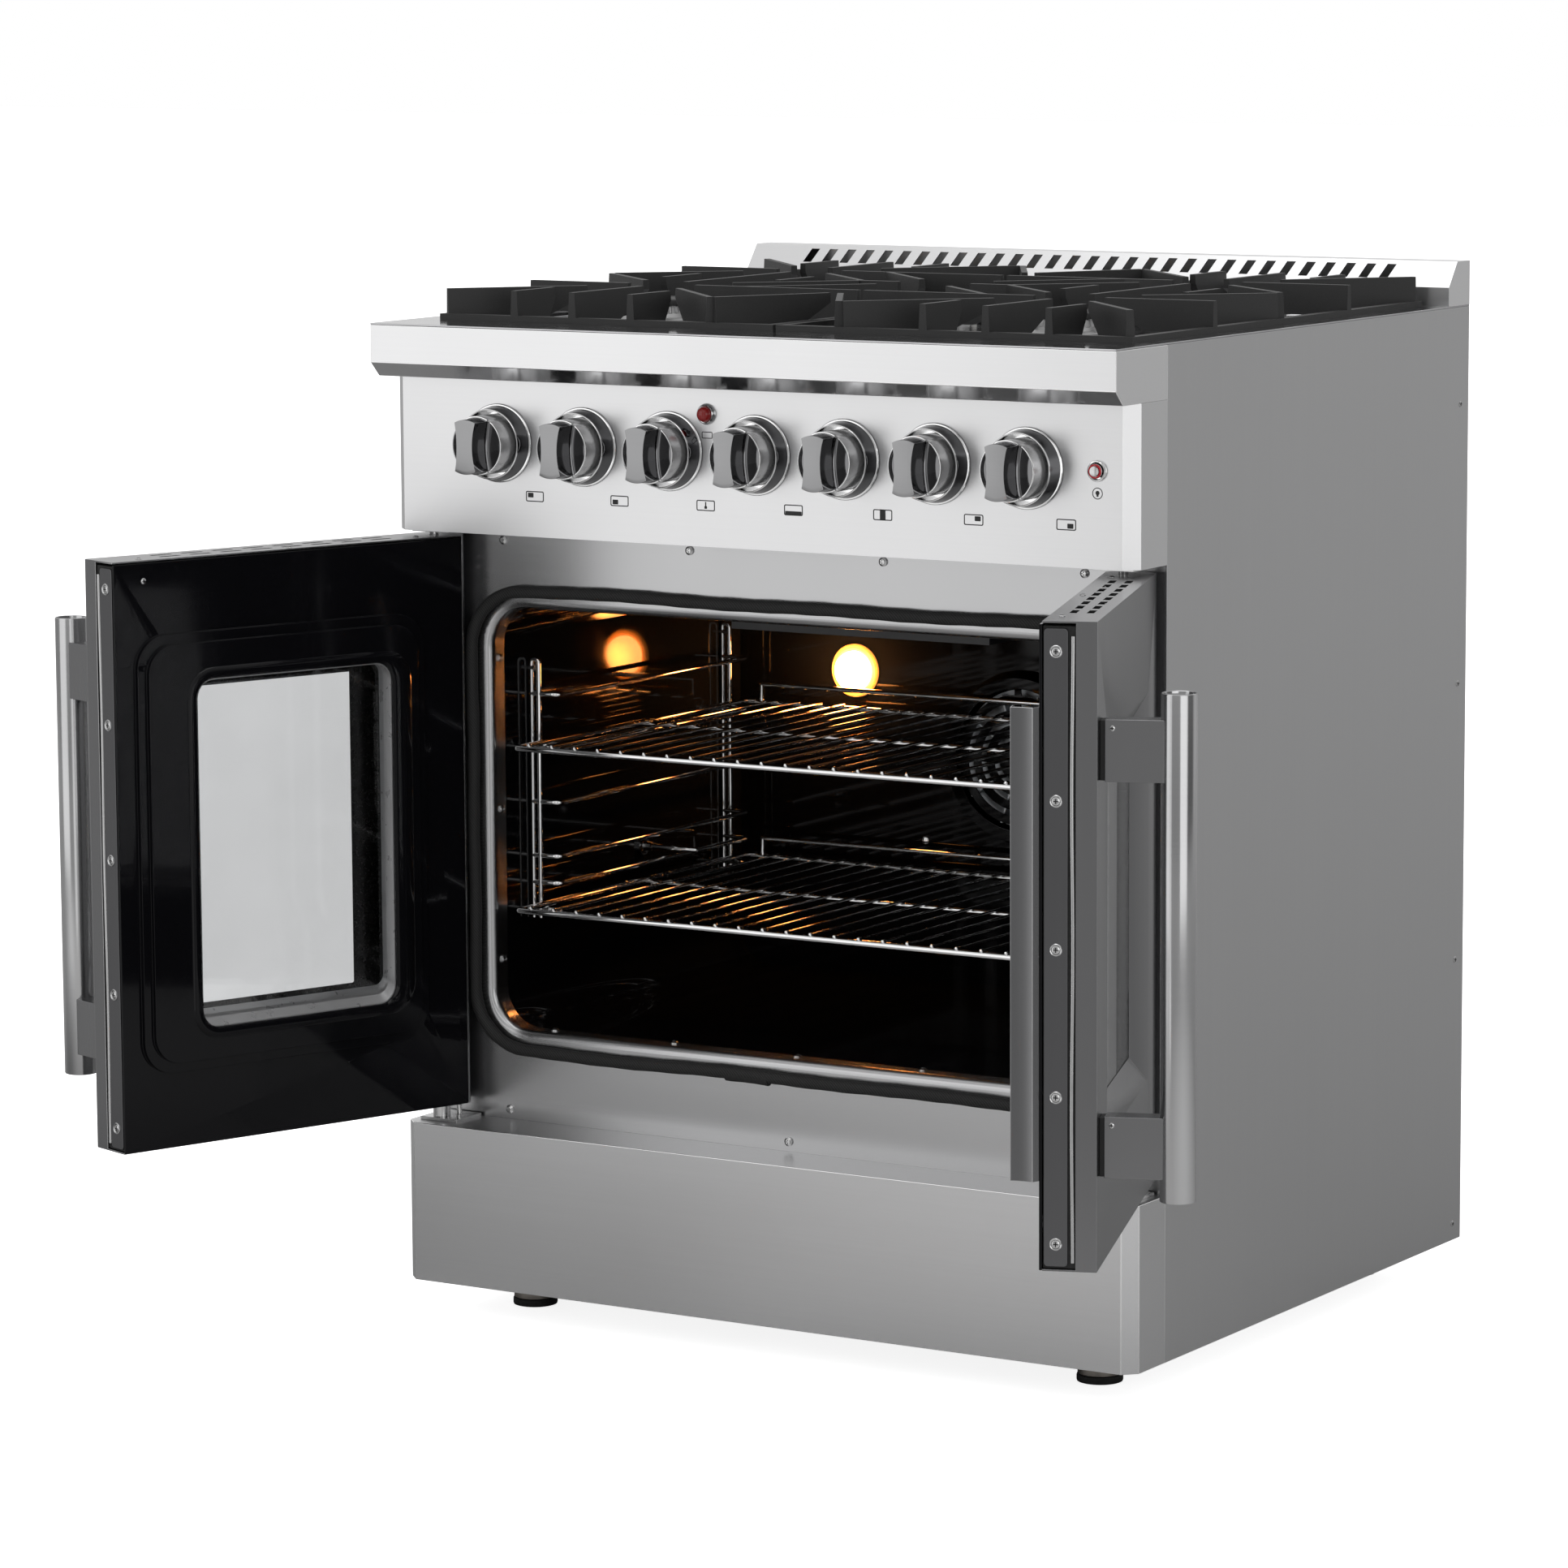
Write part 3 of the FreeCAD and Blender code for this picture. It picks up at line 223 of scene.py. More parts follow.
def rope(name):
    """Woven fibreglass rope: diagonal braid."""
    g = Graph(name)
    inputs = {"Vector": g.scaled(), "Scale": 210.0, "Distortion": 1.5}
    braid = g.node("ShaderNodeTexWave", inputs, wave_type="BANDS", bands_direction="DIAGONAL").outputs["Fac"]
    fibre = g.noise(1500.0, 3.0)
    g.set(Base_Color=g.ramp(braid, 0.2, 0.8, (0.006, 0.006, 0.006), (0.022, 0.022, 0.022)),
          Roughness=g.ramp(fibre, 0.3, 0.7, 0.65, 0.9),
          Normal=g.bump(fibre, 0.3, 0.1, g.bump(braid, 0.35, 0.3)))
    return g.owner


def blanket(name):
    """Yellowish mineral-wool blanket."""
    g = Graph(name)
    fibre = g.noise(120.0, 8.0, 0.75)
    g.set(Base_Color=g.ramp(fibre, 0.3, 0.7, (0.45, 0.38, 0.22), (0.72, 0.64, 0.45)),
          Roughness=g.ramp(fibre, 0.3, 0.7, 0.85, 1.0), Normal=g.bump(fibre, 0.8, 1.5))
    return g.owner


def glass(name, tint, rough=0.02):
    """Window glass with a faint tint and a slightly uneven film."""
    g = Graph(name)
    film = g.noise(9.0, 3.0)
    g.set(Base_Color=g.ramp(film, 0.3, 0.7, times(tint, 0.96), tint),
          Roughness=g.ramp(film, 0.3, 0.7, rough * 0.5, rough * 1.5), Transmission_Weight=1.0, IOR=1.45)
    return g.owner


def glow(name, tone, strength, rough=0.3):
    """Lit lens: emission that is a little uneven."""
    g = Graph(name)
    colour = g.ramp(g.noise(120.0, 2.0), 0.2, 0.8, times(tone, 0.85), tone)
    g.set(Base_Color=colour, Emission_Color=colour, Emission_Strength=strength, Roughness=rough)
    return g.owner


MATERIALS = {
    "front": brushed("brushed_front_steel", grey(0.78), 0.30, "x", 0.03),
    "panel": brushed("brushed_panel_steel", grey(0.72), 0.30, "x", 0.03),
    "kick": brushed("brushed_kick_steel", grey(0.66), 0.30, "x", 0.01),
    "frame": brushed("satin_frame_steel", grey(0.48), 0.24, "x", 0.02),
    "side": brushed("satin_side_steel", grey(0.56), 0.36, "z", 0.02),
    "door": brushed("brushed_door_steel", grey(0.26), 0.25, "z", 0.02),
    "strip": brushed("centre_strip_steel", grey(0.22), 0.24, "z", 0.02),
    # Lighter steel put on bevelled edges, rims and rings: a painted highlight.
    "highlight_paint": polished("fold_steel_painted_highlight", grey(0.95, 0), 0.14),
    # Lighter steel on the bevelled edges of the door skins and centre strip: a painted highlight.
    "door_edge": polished("door_fold_painted_highlight", grey(0.55), 0.20),
    "under": polished("polished_underside", grey(0.66), 0.11),
    "reveal": polished("satin_window_reveal", grey(0.42), 0.32, 0.5),
    "print": painted("printed_glass_border", grey(0.006, 0), 0.25, 0.01),
    "edge": brushed("dark_edge_steel", grey(0.165), 0.30, "z", 0.03),
    "handle_post": brushed("handle_post_steel", grey(0.28), 0.26, "z", 0.03),
    "handle": brushed("satin_handle_steel", grey(0.53), 0.18, "ring", 0.12),
    "face": brushed("satin_knob_face", grey(0.33), 0.30, "x", 0.04),
    "barrel": brushed("satin_knob_barrel", grey(0.66), 0.26, "ring", 0.06, 0.72),
    "top": polished("polished_top_steel", (0.52, 0.52, 0.53), 0.10),
    "chrome": polished("chrome", grey(0.58), 0.03),
    # Knob and bezel chrome far darker than the plain chrome: painted shade for the dark surroundings they
    # reflect.
    "bezel": polished("bezel_chrome_painted_dark", grey(0.15), 0.05),
    "knob": polished("knob_chrome_painted_dark", grey(0.20), 0.05),
    "screw": polished("screw_steel", grey(0.60, 0), 0.16),
    "rack": polished("rack_chrome", grey(0.85, 0), 0.07),
    "enamel": enamel("black_enamel", (0.002, 0.002, 0.0025), 0.008, 0.045, 0.13),
    "enamel_door": enamel("black_door_enamel", shine=0.16),
    "iron": cast_iron("matte_cast_iron", grey(0.014, 0)),
    # Lighter, smoother iron on the grates' bevelled edges: a painted highlight.
    "iron_edge": cast_iron("grate_edge_painted_highlight", (0.045, 0.045, 0.046), 0.42, 0.10),
    "cap": cast_iron("matte_cap_enamel", grey(0.010, 0), 0.6, 0.06),
    "dark": painted("dark_grey_paint", (0.045, 0.045, 0.047), 0.45),
    "black": painted("black_plastic", grey(0.010, 0), 0.5),
    "zinc": galvanised("galvanised_sheet"),
    "aluminium": polished("cast_aluminium", grey(0.55, 0), 0.42),
    "brass": polished("machined_brass", (0.66, 0.50, 0.22), 0.28),
    "pipe": painted("black_pipe", grey(0.09), 0.5),
    "wool": blanket("mineral_wool"),
    "rope": rope("gasket_rope"),
    "glass": glass("window_glass", (0.93, 0.935, 0.94)),
    "lamp": glow("lit_lamp_glass", (1.0, 0.40, 0.10), 42.0),
    "red": glow("red_lens", (0.22, 0.006, 0.006), 0.10, 0.10),
    "lit": glow("lit_red_ring", (0.42, 0.008, 0.016), 0.16, 0.2),
    "foot": brushed("turned_foot", (0.36, 0.33, 0.30), 0.36, "x", 0.06),
    "bead": polished("bead_steel", grey(0.55, 0), 0.22),
    "ink": painted("printed_ink", (0.012, 0.012, 0.013), 0.5),
    "rubber": painted("black_rubber", grey(0.012, 0), 0.7),
    "ceramic": painted("white_ceramic", (0.72, 0.70, 0.66), 0.35),
    "halo": glow("warm_lens_rim", (1.0, 0.36, 0.06), 1.3),
}

SLOT_LOOKS = {
    "brushed_steel": "front", "panel_steel": "panel", "frame_steel": "frame", "side_steel": "side",
    "polished_steel": "top", "handle_steel": "handle", "screw_steel": "screw", "chrome": "chrome",
    "knob_metal": "chrome", "rack_chrome": "rack", "galvanised_steel": "zinc", "dark_steel": "dark",
    "black_enamel": "enamel", "cap_enamel": "cap", "cast_iron": "iron", "burner_aluminium": "aluminium",
    "brass": "brass", "gas_pipe": "pipe", "insulation": "wool", "gasket_rope": "rope",
    "lamp_glass": "lamp", "window_glass": "glass", "red_lens": "red", "black_plastic": "black",
    "foot_metal": "foot",
}


def dress_nodes():
    """Every CAD node gets the node material of its record slot, but for the doors."""
    for node, obj in frame["nodes"].items():
        look = SLOT_LOOKS[SLOT_OF[node]]
        if "door_skin" in node:
            look = "door"
        if "door_inner" in node:
            look = "enamel_door"
        obj.data.materials.clear()
        obj.data.materials.append(MATERIALS[look])


dress_nodes()


# ---- building pieces
def join_rows(edit, rows, closed=False):
    """Faces between rows of points that run round; the end rows are capped, or joined when closed."""
    for one, two in zip(rows, rows[1:] + rows[:1] if closed else rows[1:]):
        for i in range(len(one)):
            j = (i + 1) % len(one)
            edit.faces.new((one[i], one[j], two[j], two[i]))
    if not closed:
        edit.faces.new(rows[0])
        edit.faces.new(rows[-1])


def shade_smooth(mesh, degrees):
    """Smooth shading, with edges sharper than an angle kept hard."""
    for polygon in mesh.polygons:
        polygon.use_smooth = True
    mesh.set_sharp_from_angle(angle=math.radians(degrees))


def piece(name, mesh_edit, look, body, slot=None, replaces=(), smooth=35.0):
    """Turns a bmesh drawn in millimetres into a piece that rides on a body."""
    bmesh.ops.scale(mesh_edit, vec=(MM, MM, MM), verts=mesh_edit.verts)
    return metre_piece(name, mesh_edit, look, body, slot, replaces, smooth)


def metre_piece(name, mesh_edit, look, body, slot=None, replaces=(), smooth=35.0):
    """Turns a bmesh drawn in metres into a piece that rides on a body."""
    bmesh.ops.recalc_face_normals(mesh_edit, faces=mesh_edit.faces)
    mesh = bpy.data.meshes.new(name)
    mesh_edit.to_mesh(mesh)
    mesh_edit.free()
    shade_smooth(mesh, smooth)
    made = bpy.data.objects.new(name, mesh)
    bpy.context.collection.objects.link(made)
    mesh.materials.append(MATERIALS[look])
    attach(made, body)
    if replaces:
        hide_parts(*replaces)
    return made


def paint(made, looks, pick):
    """Several materials on one piece; pick gives the index for a face's centre in mm and its normal."""
    made.data.materials.clear()
    for look in looks:
        made.data.materials.append(MATERIALS[look])
    for polygon in made.data.polygons:
        polygon.material_index = pick(polygon.center / MM, polygon.normal)


def rounded_edges(made, width_mm, segments=2, angle=32.0, edge_material=-1):
    """Bevels a piece's hard edges so that they catch the light."""
    bevel = made.modifiers.new("bevel", "BEVEL")
    bevel.width = width_mm * MM
    bevel.segments = segments
    bevel.limit_method = "ANGLE"
    bevel.angle_limit = math.radians(angle)
    bevel.harden_normals = True
    bevel.use_clamp_overlap = True
    bevel.material = edge_material
    return made


WELD_M, FLAT_DEGREES = 2e-6, 0.5       # corners closer than this are one; faces flatter than this are one


def softened(node, look, width_mm, segments=2, angle=32.0, highlight_look=None):
    """Copy of a CAD node with clean flat faces and rounded edges, shown in its place; an edge look, when
    given, paints a highlight on the rounded edges.
    """
    edit = bmesh.new()
    edit.from_mesh(frame["nodes"][node].data)
    bmesh.ops.remove_doubles(edit, verts=edit.verts, dist=WELD_M)
    bmesh.ops.dissolve_limit(edit, angle_limit=math.radians(FLAT_DEGREES), verts=edit.verts, edges=edit.edges)
    made = metre_piece(node + "_shown", edit, look, BODY_OF[node], SLOT_OF[node], (node,))
    if highlight_look:
        made.data.materials.append(MATERIALS[highlight_look])
    return rounded_edges(made, width_mm, segments, angle, 1 if highlight_look else -1)


def circle(steps):
    """Points of a circle of radius 1."""
    turns = [2 * math.pi * i / steps for i in range(steps)]
    return [(math.cos(a), math.sin(a)) for a in turns]


def lathe(edit, profile, place, steps=96):
    """Surface of revolution about a line along Y through place; profile is (radius, depth) pairs."""
    x, z = place
    join_rows(edit, [[edit.verts.new((x + radius * u, depth, z + radius * v)) for u, v in circle(steps)]
                     for radius, depth in profile])


def turned(edit, matrix, verts=None):
    """Moves a bmesh, or some of its vertices, by a matrix."""
    bmesh.ops.transform(edit, matrix=matrix, verts=verts or edit.verts)


def spin(edit, profile, matrix, steps=48, closed=False):
    """Surface of revolution about local Z from (radius, height) pairs, closed into a ring or capped."""
    rows = [[edit.verts.new((radius * u, radius * v, height)) for u, v in circle(steps)]
            for radius, height in profile]
    join_rows(edit, rows, closed)
    turned(edit, matrix, [vertex for row in rows for vertex in row])


def spun(name, profile, matrix, look, body, slot, replaces=(), steps=48, closed=False):
    """One piece that is a single surface of revolution."""
    edit = bmesh.new()
    spin(edit, profile, matrix, steps, closed)
    return piece(name, edit, look, body, slot, replaces)


def block(edit, x, y, z):
    """Box between pairs of x, y and z values."""
    made = bmesh.ops.create_cube(edit, size=1.0)["verts"]
    size = Vector((x[1] - x[0], y[1] - y[0], z[1] - z[0]))
    centre = Vector((sum(x) / 2, sum(y) / 2, sum(z) / 2))
    for vertex in made:
        vertex.co = Vector([c * s for c, s in zip(vertex.co, size)]) + centre
    return made


def tube(edit, points, radius, steps=12, closed=False):
    """Round bar along a list of points, with its rings turned smoothly."""
    points = [Vector(p) for p in points]
    count = len(points)
    rings = []
    side = None
    for i, point in enumerate(points):
        before = points[i - 1] if i or closed else point
        after = points[(i + 1) % count] if i < count - 1 or closed else point
        along = (after - before).normalized()
        if side is None:
            side = along.orthogonal().normalized()
        side = (side - along * side.dot(along)).normalized()
        other = along.cross(side)
        size = radius(i) if callable(radius) else radius
        rings.append([edit.verts.new(point + (side * u + other * v) * size) for u, v in circle(steps)])
    join_rows(edit, rings, closed)


def look_along(direction, place):
    """Matrix that puts local Z along a direction at a place."""
    return Matrix.Translation(Vector(place)) @ Vector(direction).to_track_quat("Z", "Y").to_matrix().to_4x4()


def facing(x, y, z):
    """Matrix that puts local Z along -Y, out of the range's front, at a place."""
    return look_along((0, -1, 0), (x, y, z))


def standing(x, y, z):
    """Matrix that puts local Z upright at a place."""
    return Matrix.Translation((x, y, z))


def both_ways(centre, half):
    """Pair of values on both sides of a centre."""
    return (centre - half, centre + half)


def middle(node):
    """Centre of a CAD node's box, in millimetres."""
    low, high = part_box(node)
    return [(a + b) / 2 / MM for a, b in zip(low, high)]


def corners(node):
    """Lowest and highest corners of a CAD node's box, in millimetres."""
    low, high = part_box(node)
    return [c / MM for c in low], [c / MM for c in high]


# ---- sheet metal from the frame
# Per node: look, bevel width in mm, and the look of a painted highlight on the bevelled edges, if any.
SOFT_NODES = {
    "control_panel": ("panel", 0.6, "highlight_paint"), "kick_panel": ("kick", 0.6, "highlight_paint"),
    "cooktop": ("top", 0.5, None), "backguard": ("front", 0.6, "highlight_paint"),
    "side_panels": ("side", 0.5, None),
    "back_panel": ("zinc", 0.3, None), "base_pan": ("zinc", 0.3, None), "front_screws": ("screw", 0.25, None),
    "hinge_mounts": ("screw", 0.4, None), "centre_strip": ("strip", 0.4, "door_edge"),
    "door_skin_left": ("door", 0.5, "door_edge"), "door_skin_right": ("door", 0.5, "door_edge"),
}


def dress_sheet_metal():
    """Rounds the sheet pieces' edges, with a painted highlight on the folds of brushed steel and a polished
    rail underside.
    """
    for node, (look, width, highlight_look) in SOFT_NODES.items():
        softened(node, look, width, highlight_look=highlight_look)
    rail = softened("bullnose_rail", "front", 0.7, highlight_look="highlight_paint")
    paint(rail, ("front", "highlight_paint", "under"), lambda centre, normal: 2 if normal.z < -0.3 else 0)


dress_sheet_metal()


# ---- knobs and bezels
# Knobs and bezels are given by how far they stand out of the panel.
KNOBS = [n for n in frame["nodes"] if n.startswith("knob_") and n != "knob_bezels"]
PANEL = corners("control_panel")[0][1]
RIM, RIM_EDGE, GRIP_FACE, LIP = 35.2, 0.9, 54.6, 17.0
BARREL_R, GRIP_R, GRIP_WAIST, GRIP_END = 26.4, 24.6, 8.2, 11.0
# The last of these is the slot of the painted highlight on the knob's outer rim and bevelled edges.
RECESS, FOOT_FILLET, FACE_DOME, HIGHLIGHT_INDEX = 2.8, 3.6, 1.2, 3
CUT_ROWS, CUT_HALF, CUT_R, CUT_WAIST_HALF = 16, 24.9, 24.95, 22.0
CUT_OUT, CUT_SIDE, CUT_HIGH, FILLET_STEPS = 64.0, 40.0, 30.0, 6
CARVED_SHARP = 30.0
# (radius, how far out) pairs
BEZEL = ((35.2, 0.0), (35.2, 1.3), (34.6, 1.9), (33.5, 2.1), (33.0, 4.0), (31.5, LIP - 1.0),
         (31.2, LIP - 0.3), (30.7, LIP), (30.2, LIP - 0.3), (30.0, LIP - 1.2), (29.9, 2.0), (0.5, 2.0))
BARREL = ((22.0, 18.0), (22.5, 4.2), (25.6, 4.2), (26.2, 4.8), (BARREL_R, 6.0), (BARREL_R, RIM - RIM_EDGE),
          (26.1, RIM - 0.2), (25.5, RIM), (GRIP_R + 0.25, RIM + 0.1), (GRIP_R, RIM + 0.6),
          (24.3, GRIP_FACE - FACE_DOME - 0.6), (24.1, GRIP_FACE - FACE_DOME - 0.15))
# The last pair is how far out of the panel the painted highlight band at the bezel's foot runs.
FACE_R, FACE_STEPS, BEZEL_FOOT_HIGHLIGHT = 23.7, 8, (1.2, 2.05)


def grip_cutter(x, z, side):
    """Solid to take off one side of a knob: a waisted wall whose foot runs into a sunk recess."""
    edit = bmesh.new()
    floor = PANEL - RIM + RECESS
    rows = []
    for k in range(-CUT_ROWS, CUT_ROWS + 1):
        height = CUT_HALF * k / CUT_ROWS
        waist = GRIP_WAIST + (GRIP_END - GRIP_WAIST) * (height / CUT_WAIST_HALF) ** 2
        edge = max(math.sqrt(CUT_R ** 2 - height ** 2), waist + FOOT_FILLET + 0.01)
        outline = [(waist, PANEL - CUT_OUT), (waist, floor - FOOT_FILLET)]
        for i in range(1, FILLET_STEPS + 1):
            a = math.pi / 2 * i / FILLET_STEPS
            outline.append((waist + FOOT_FILLET * (1 - math.cos(a)), floor - FOOT_FILLET * (1 - math.sin(a))))
        outline += [(edge + 0.02, floor), (edge + 0.02, PANEL - RIM), (CUT_SIDE, PANEL - RIM),
                    (CUT_SIDE, PANEL - CUT_OUT)]
        rows.append([edit.verts.new((x + side * u, y, z + height)) for u, y in outline])
    first, last = [[edit.verts.new((v.co.x, min(v.co.y, PANEL - RIM), z + height)) for v in row]
                   for row, height in ((rows[0], -CUT_HIGH), (rows[-1], CUT_HIGH))]
    join_rows(edit, [first] + rows + [last])
    bmesh.ops.scale(edit, vec=(MM, MM, MM), verts=edit.verts)
    bmesh.ops.recalc_face_normals(edit, faces=edit.faces)
    mesh = bpy.data.meshes.new("cutter")
    edit.to_mesh(mesh)
    edit.free()
    made = bpy.data.objects.new("cutter", mesh)
    bpy.context.collection.objects.link(made)
    return made


def carve(made, cutters):
    """Takes solids away from a piece for good."""
    bpy.context.view_layer.update()
    for cutter in cutters:
        cut = made.modifiers.new("cut", "BOOLEAN")
        cut.object = cutter
        cut.operation = "DIFFERENCE"
        cut.solver = "EXACT"
    graph = bpy.context.evaluated_depsgraph_get()
    mesh = bpy.data.meshes.new_from_object(made.evaluated_get(graph))
    old = made.data
    made.modifiers.clear()
    made.data = mesh
    bpy.data.meshes.remove(old)
    for cutter in cutters:
        bpy.data.meshes.remove(cutter.data)
    shade_smooth(made.data, CARVED_SHARP)


def knob(node):
    """Round chrome barrel with an upright waisted grip between two sunk recesses."""
    x, _, z = middle(node)
    edit = bmesh.new()
    dome = [1 - k / FACE_STEPS for k in range(FACE_STEPS)]
    profile = list(BARREL) + [(FACE_R * out, GRIP_FACE - FACE_DOME * out ** 2) for out in dome]
    lathe(edit, [(r, PANEL - d) for r, d in profile], (x, z), 128)
    made = piece(node + "_shown", edit, "knob", BODY_OF[node], SLOT_OF[node], (node,))
    carve(made, [grip_cutter(x, z, side) for side in (-1, 1)])

    def pick(centre, normal):
        """Face, sunk recesses, painted highlight on the outer rim, and satin barrel."""
        out = PANEL - centre.y
        if out > GRIP_FACE - FACE_DOME - 0.1 and normal.y < -0.9:
            return 1
        if math.hypot(centre.x - x, centre.z - z) < BARREL_R - 1.0 or out > RIM + 0.3:
            return 0
        return HIGHLIGHT_INDEX if out > RIM - RIM_EDGE else 2

    paint(made, ("knob", "face", "barrel", "highlight_paint"), pick)
    rounded_edges(made, 0.35, 2, 50, HIGHLIGHT_INDEX)


def knobs_and_bezels():
    """All knobs, with one shared piece for the bezels."""
    rings = bmesh.new()
    for node in KNOBS:
        x, _, z = middle(node)
        lathe(rings, [(r, PANEL - d) for r, d in BEZEL], (x, z))
        knob(node)
    made = piece("knob_bezels_shown", rings, "bezel", "cabinet", "chrome", ("knob_bezels",), 25)
    # Painted highlight on the bezel's lip and on a thin band at its foot.
    lip_highlight, (low, high) = LIP - 1.1, BEZEL_FOOT_HIGHLIGHT
    paint(made, ("bezel", "highlight_paint"),
          lambda centre, normal: 1 if PANEL - centre.y > lip_highlight or low < PANEL - centre.y < high else 0)


knobs_and_bezels()


# ---- printed marks, lamp and button
def prism(edit, points, vector):
    """Closed prism from an outline and a vector."""
    near = [edit.verts.new(p) for p in points]
    far = [edit.verts.new(Vector(p) + Vector(vector)) for p in points]
    join_rows(edit, [near, far])


def soft_rect(a, b, radius, steps=6):
    """Outline points of a rounded rectangle between two pairs of values."""
    points = []
    for ca, cb, start in ((a[1] - radius, b[1] - radius, 0), (a[0] + radius, b[1] - radius, 90),
                          (a[0] + radius, b[0] + radius, 180), (a[1] - radius, b[0] + radius, 270)):
        for i in range(steps + 1):
            t = math.radians(start + 90 * i / steps)
            points.append((ca + radius * math.cos(t), cb + radius * math.sin(t)))
    return points


def outline_ring(edit, outlines):
    """Closed ring through (outline, depth) pairs, whose outlines have the same number of points."""
    join_rows(edit, [[edit.verts.new((x, y, z)) for x, z in outline] for outline, y in outlines], True)


def frame_plate(edit, outer, inner, depth, thick):
    """Flat plate on a face that looks along -Y, with a hole."""
    outline_ring(edit, ((outer, depth), (outer, depth - thick), (inner, depth - thick), (inner, depth)))


# Small pictograms beside the knobs from left to right, as rounded bars: offset across and up, half sizes.
# They say which burner, oven heat and oven mode.
MARKS = (((-4.4, 1.1, 2.9, 2.1),), ((-4.4, -1.1, 2.9, 2.1),), ((0.0, 1.0, 0.55, 2.2), (0.0, -1.7, 1.3, 1.2)),
         ((0.0, -2.4, 8.3, 1.5),), ((0.0, 0.0, 2.8, 4.2),), ((4.0, 1.1, 2.9, 2.1),), ((4.0, -1.1, 2.9, 2.1),))
MARK_Z, MARK_OFFSET, MARK_HALF, MARK_LINE, MARK_THICK = 759.3, 38.0, (9.5, 4.75), 0.9, 0.12
BULB_R, BULB_DROP, BULB_BASE_HALF, BULB_BASE_DROP = 1.9, 18.6, 0.9, 21.8


def printed_marks():
    """Pictograms beside the knobs, a frame under the lamp and a bulb in a ring under the light button."""
    edit = bmesh.new()
    half_w, half_h = MARK_HALF
    for node, bars in zip(sorted(KNOBS, key=lambda n: middle(n)[0]), MARKS):
        x = middle(node)[0] + MARK_OFFSET
        outer = soft_rect(both_ways(x, half_w), both_ways(MARK_Z, half_h), 1.6)
        inner = soft_rect((x - half_w + MARK_LINE, x + half_w - MARK_LINE),
                          (MARK_Z - half_h + MARK_LINE, MARK_Z + half_h - MARK_LINE), 0.9)
        frame_plate(edit, outer, inner, PANEL, MARK_THICK)
        for across, up, wide, high in bars:
            radius = min(0.5, wide - 0.1)
            bar = soft_rect(both_ways(x + across, wide), both_ways(MARK_Z + up, high), radius, 2)
            prism(edit, [(a, PANEL, b) for a, b in bar], (0, -MARK_THICK, 0))
    x, _, z = middle("indicator_lamp")
    outer = soft_rect(both_ways(x, 5.5), (z - 21.5, z - 15.5), 1.2)
    inner = soft_rect(both_ways(x, 4.8), (z - 20.8, z - 16.2), 0.6)
    frame_plate(edit, outer, inner, PANEL, MARK_THICK)
    x, _, z = middle("light_button")
    ring = ((5.0, 0.0), (5.0, MARK_THICK), (4.3, MARK_THICK), (4.3, 0.0))
    spin(edit, ring, facing(x, PANEL, z - 19.0), closed=True)
    turns = [math.radians(a) for a in range(-60, 241, 20)]
    bulb = [(x + BULB_R * math.cos(a), PANEL, z - BULB_DROP + BULB_R * math.sin(a)) for a in turns]
    bulb += [(x - BULB_BASE_HALF, PANEL, z - BULB_BASE_DROP), (x + BULB_BASE_HALF, PANEL, z - BULB_BASE_DROP)]
    prism(edit, bulb, (0, -MARK_THICK, 0))
    piece("printed_marks", edit, "ink", "cabinet", "black_plastic")


# (radius, how far out of the panel) pairs
COLLAR = ((9.4, 0), (9.4, 1.2), (8.9, 2.4), (8.4, 3.6), (7.6, 4.4), (7.0, 4.2), (6.8, 3.0), (6.8, 0))
LENS = ((6.7, 0.2), (6.7, 4.4), (6.5, 6.0), (5.9, 7.6), (4.8, 9.0), (3.2, 9.9), (1.4, 10.3), (0.2, 10.4))
BUTTON_RING = ((9.2, 0), (9.2, 1.4), (8.7, 2.2), (7.6, 2.6), (7.0, 2.2), (6.9, 0))
BUTTON_BODY = ((4.2, -10.0), (4.2, 3.0), (6.3, 3.2), (6.4, 4.0), (6.2, 4.6))
BUTTON_TOP = ((4.5, 3.0), (4.5, 6.2), (4.1, 6.8), (2.4, 7.1))
BUTTON_LIT = ((6.2, 4.4), (6.1, 5.3), (5.6, 5.7), (4.8, 5.5), (4.6, 4.4))


def lamp_and_button():
    """Red indicator in a chrome collar, and the oven-light button in its ring."""
    x, _, z = middle("indicator_lamp")
    out = facing(x, PANEL, z)
    spun("indicator_collar", COLLAR, out, "chrome", "cabinet", "chrome", closed=True)
    spun("indicator_lens", LENS, out, "red", "cabinet", "red_lens", ("indicator_lamp",))
    x, _, z = middle("light_button")
    out = facing(x, PANEL, z)
    # The button's chrome ring is drawn in the painted highlight steel.
    spun("button_ring", BUTTON_RING, out, "highlight_paint", "cabinet", "chrome", closed=True)
    cap = bmesh.new()
    spin(cap, BUTTON_BODY, out)
    spin(cap, BUTTON_TOP, out)
    piece("button_cap", cap, "screw", "light_button", "screw_steel", ("light_button",))
    spun("button_lit_ring", BUTTON_LIT, out, "lit", "light_button", "red_lens", closed=True)


printed_marks()
lamp_and_button()


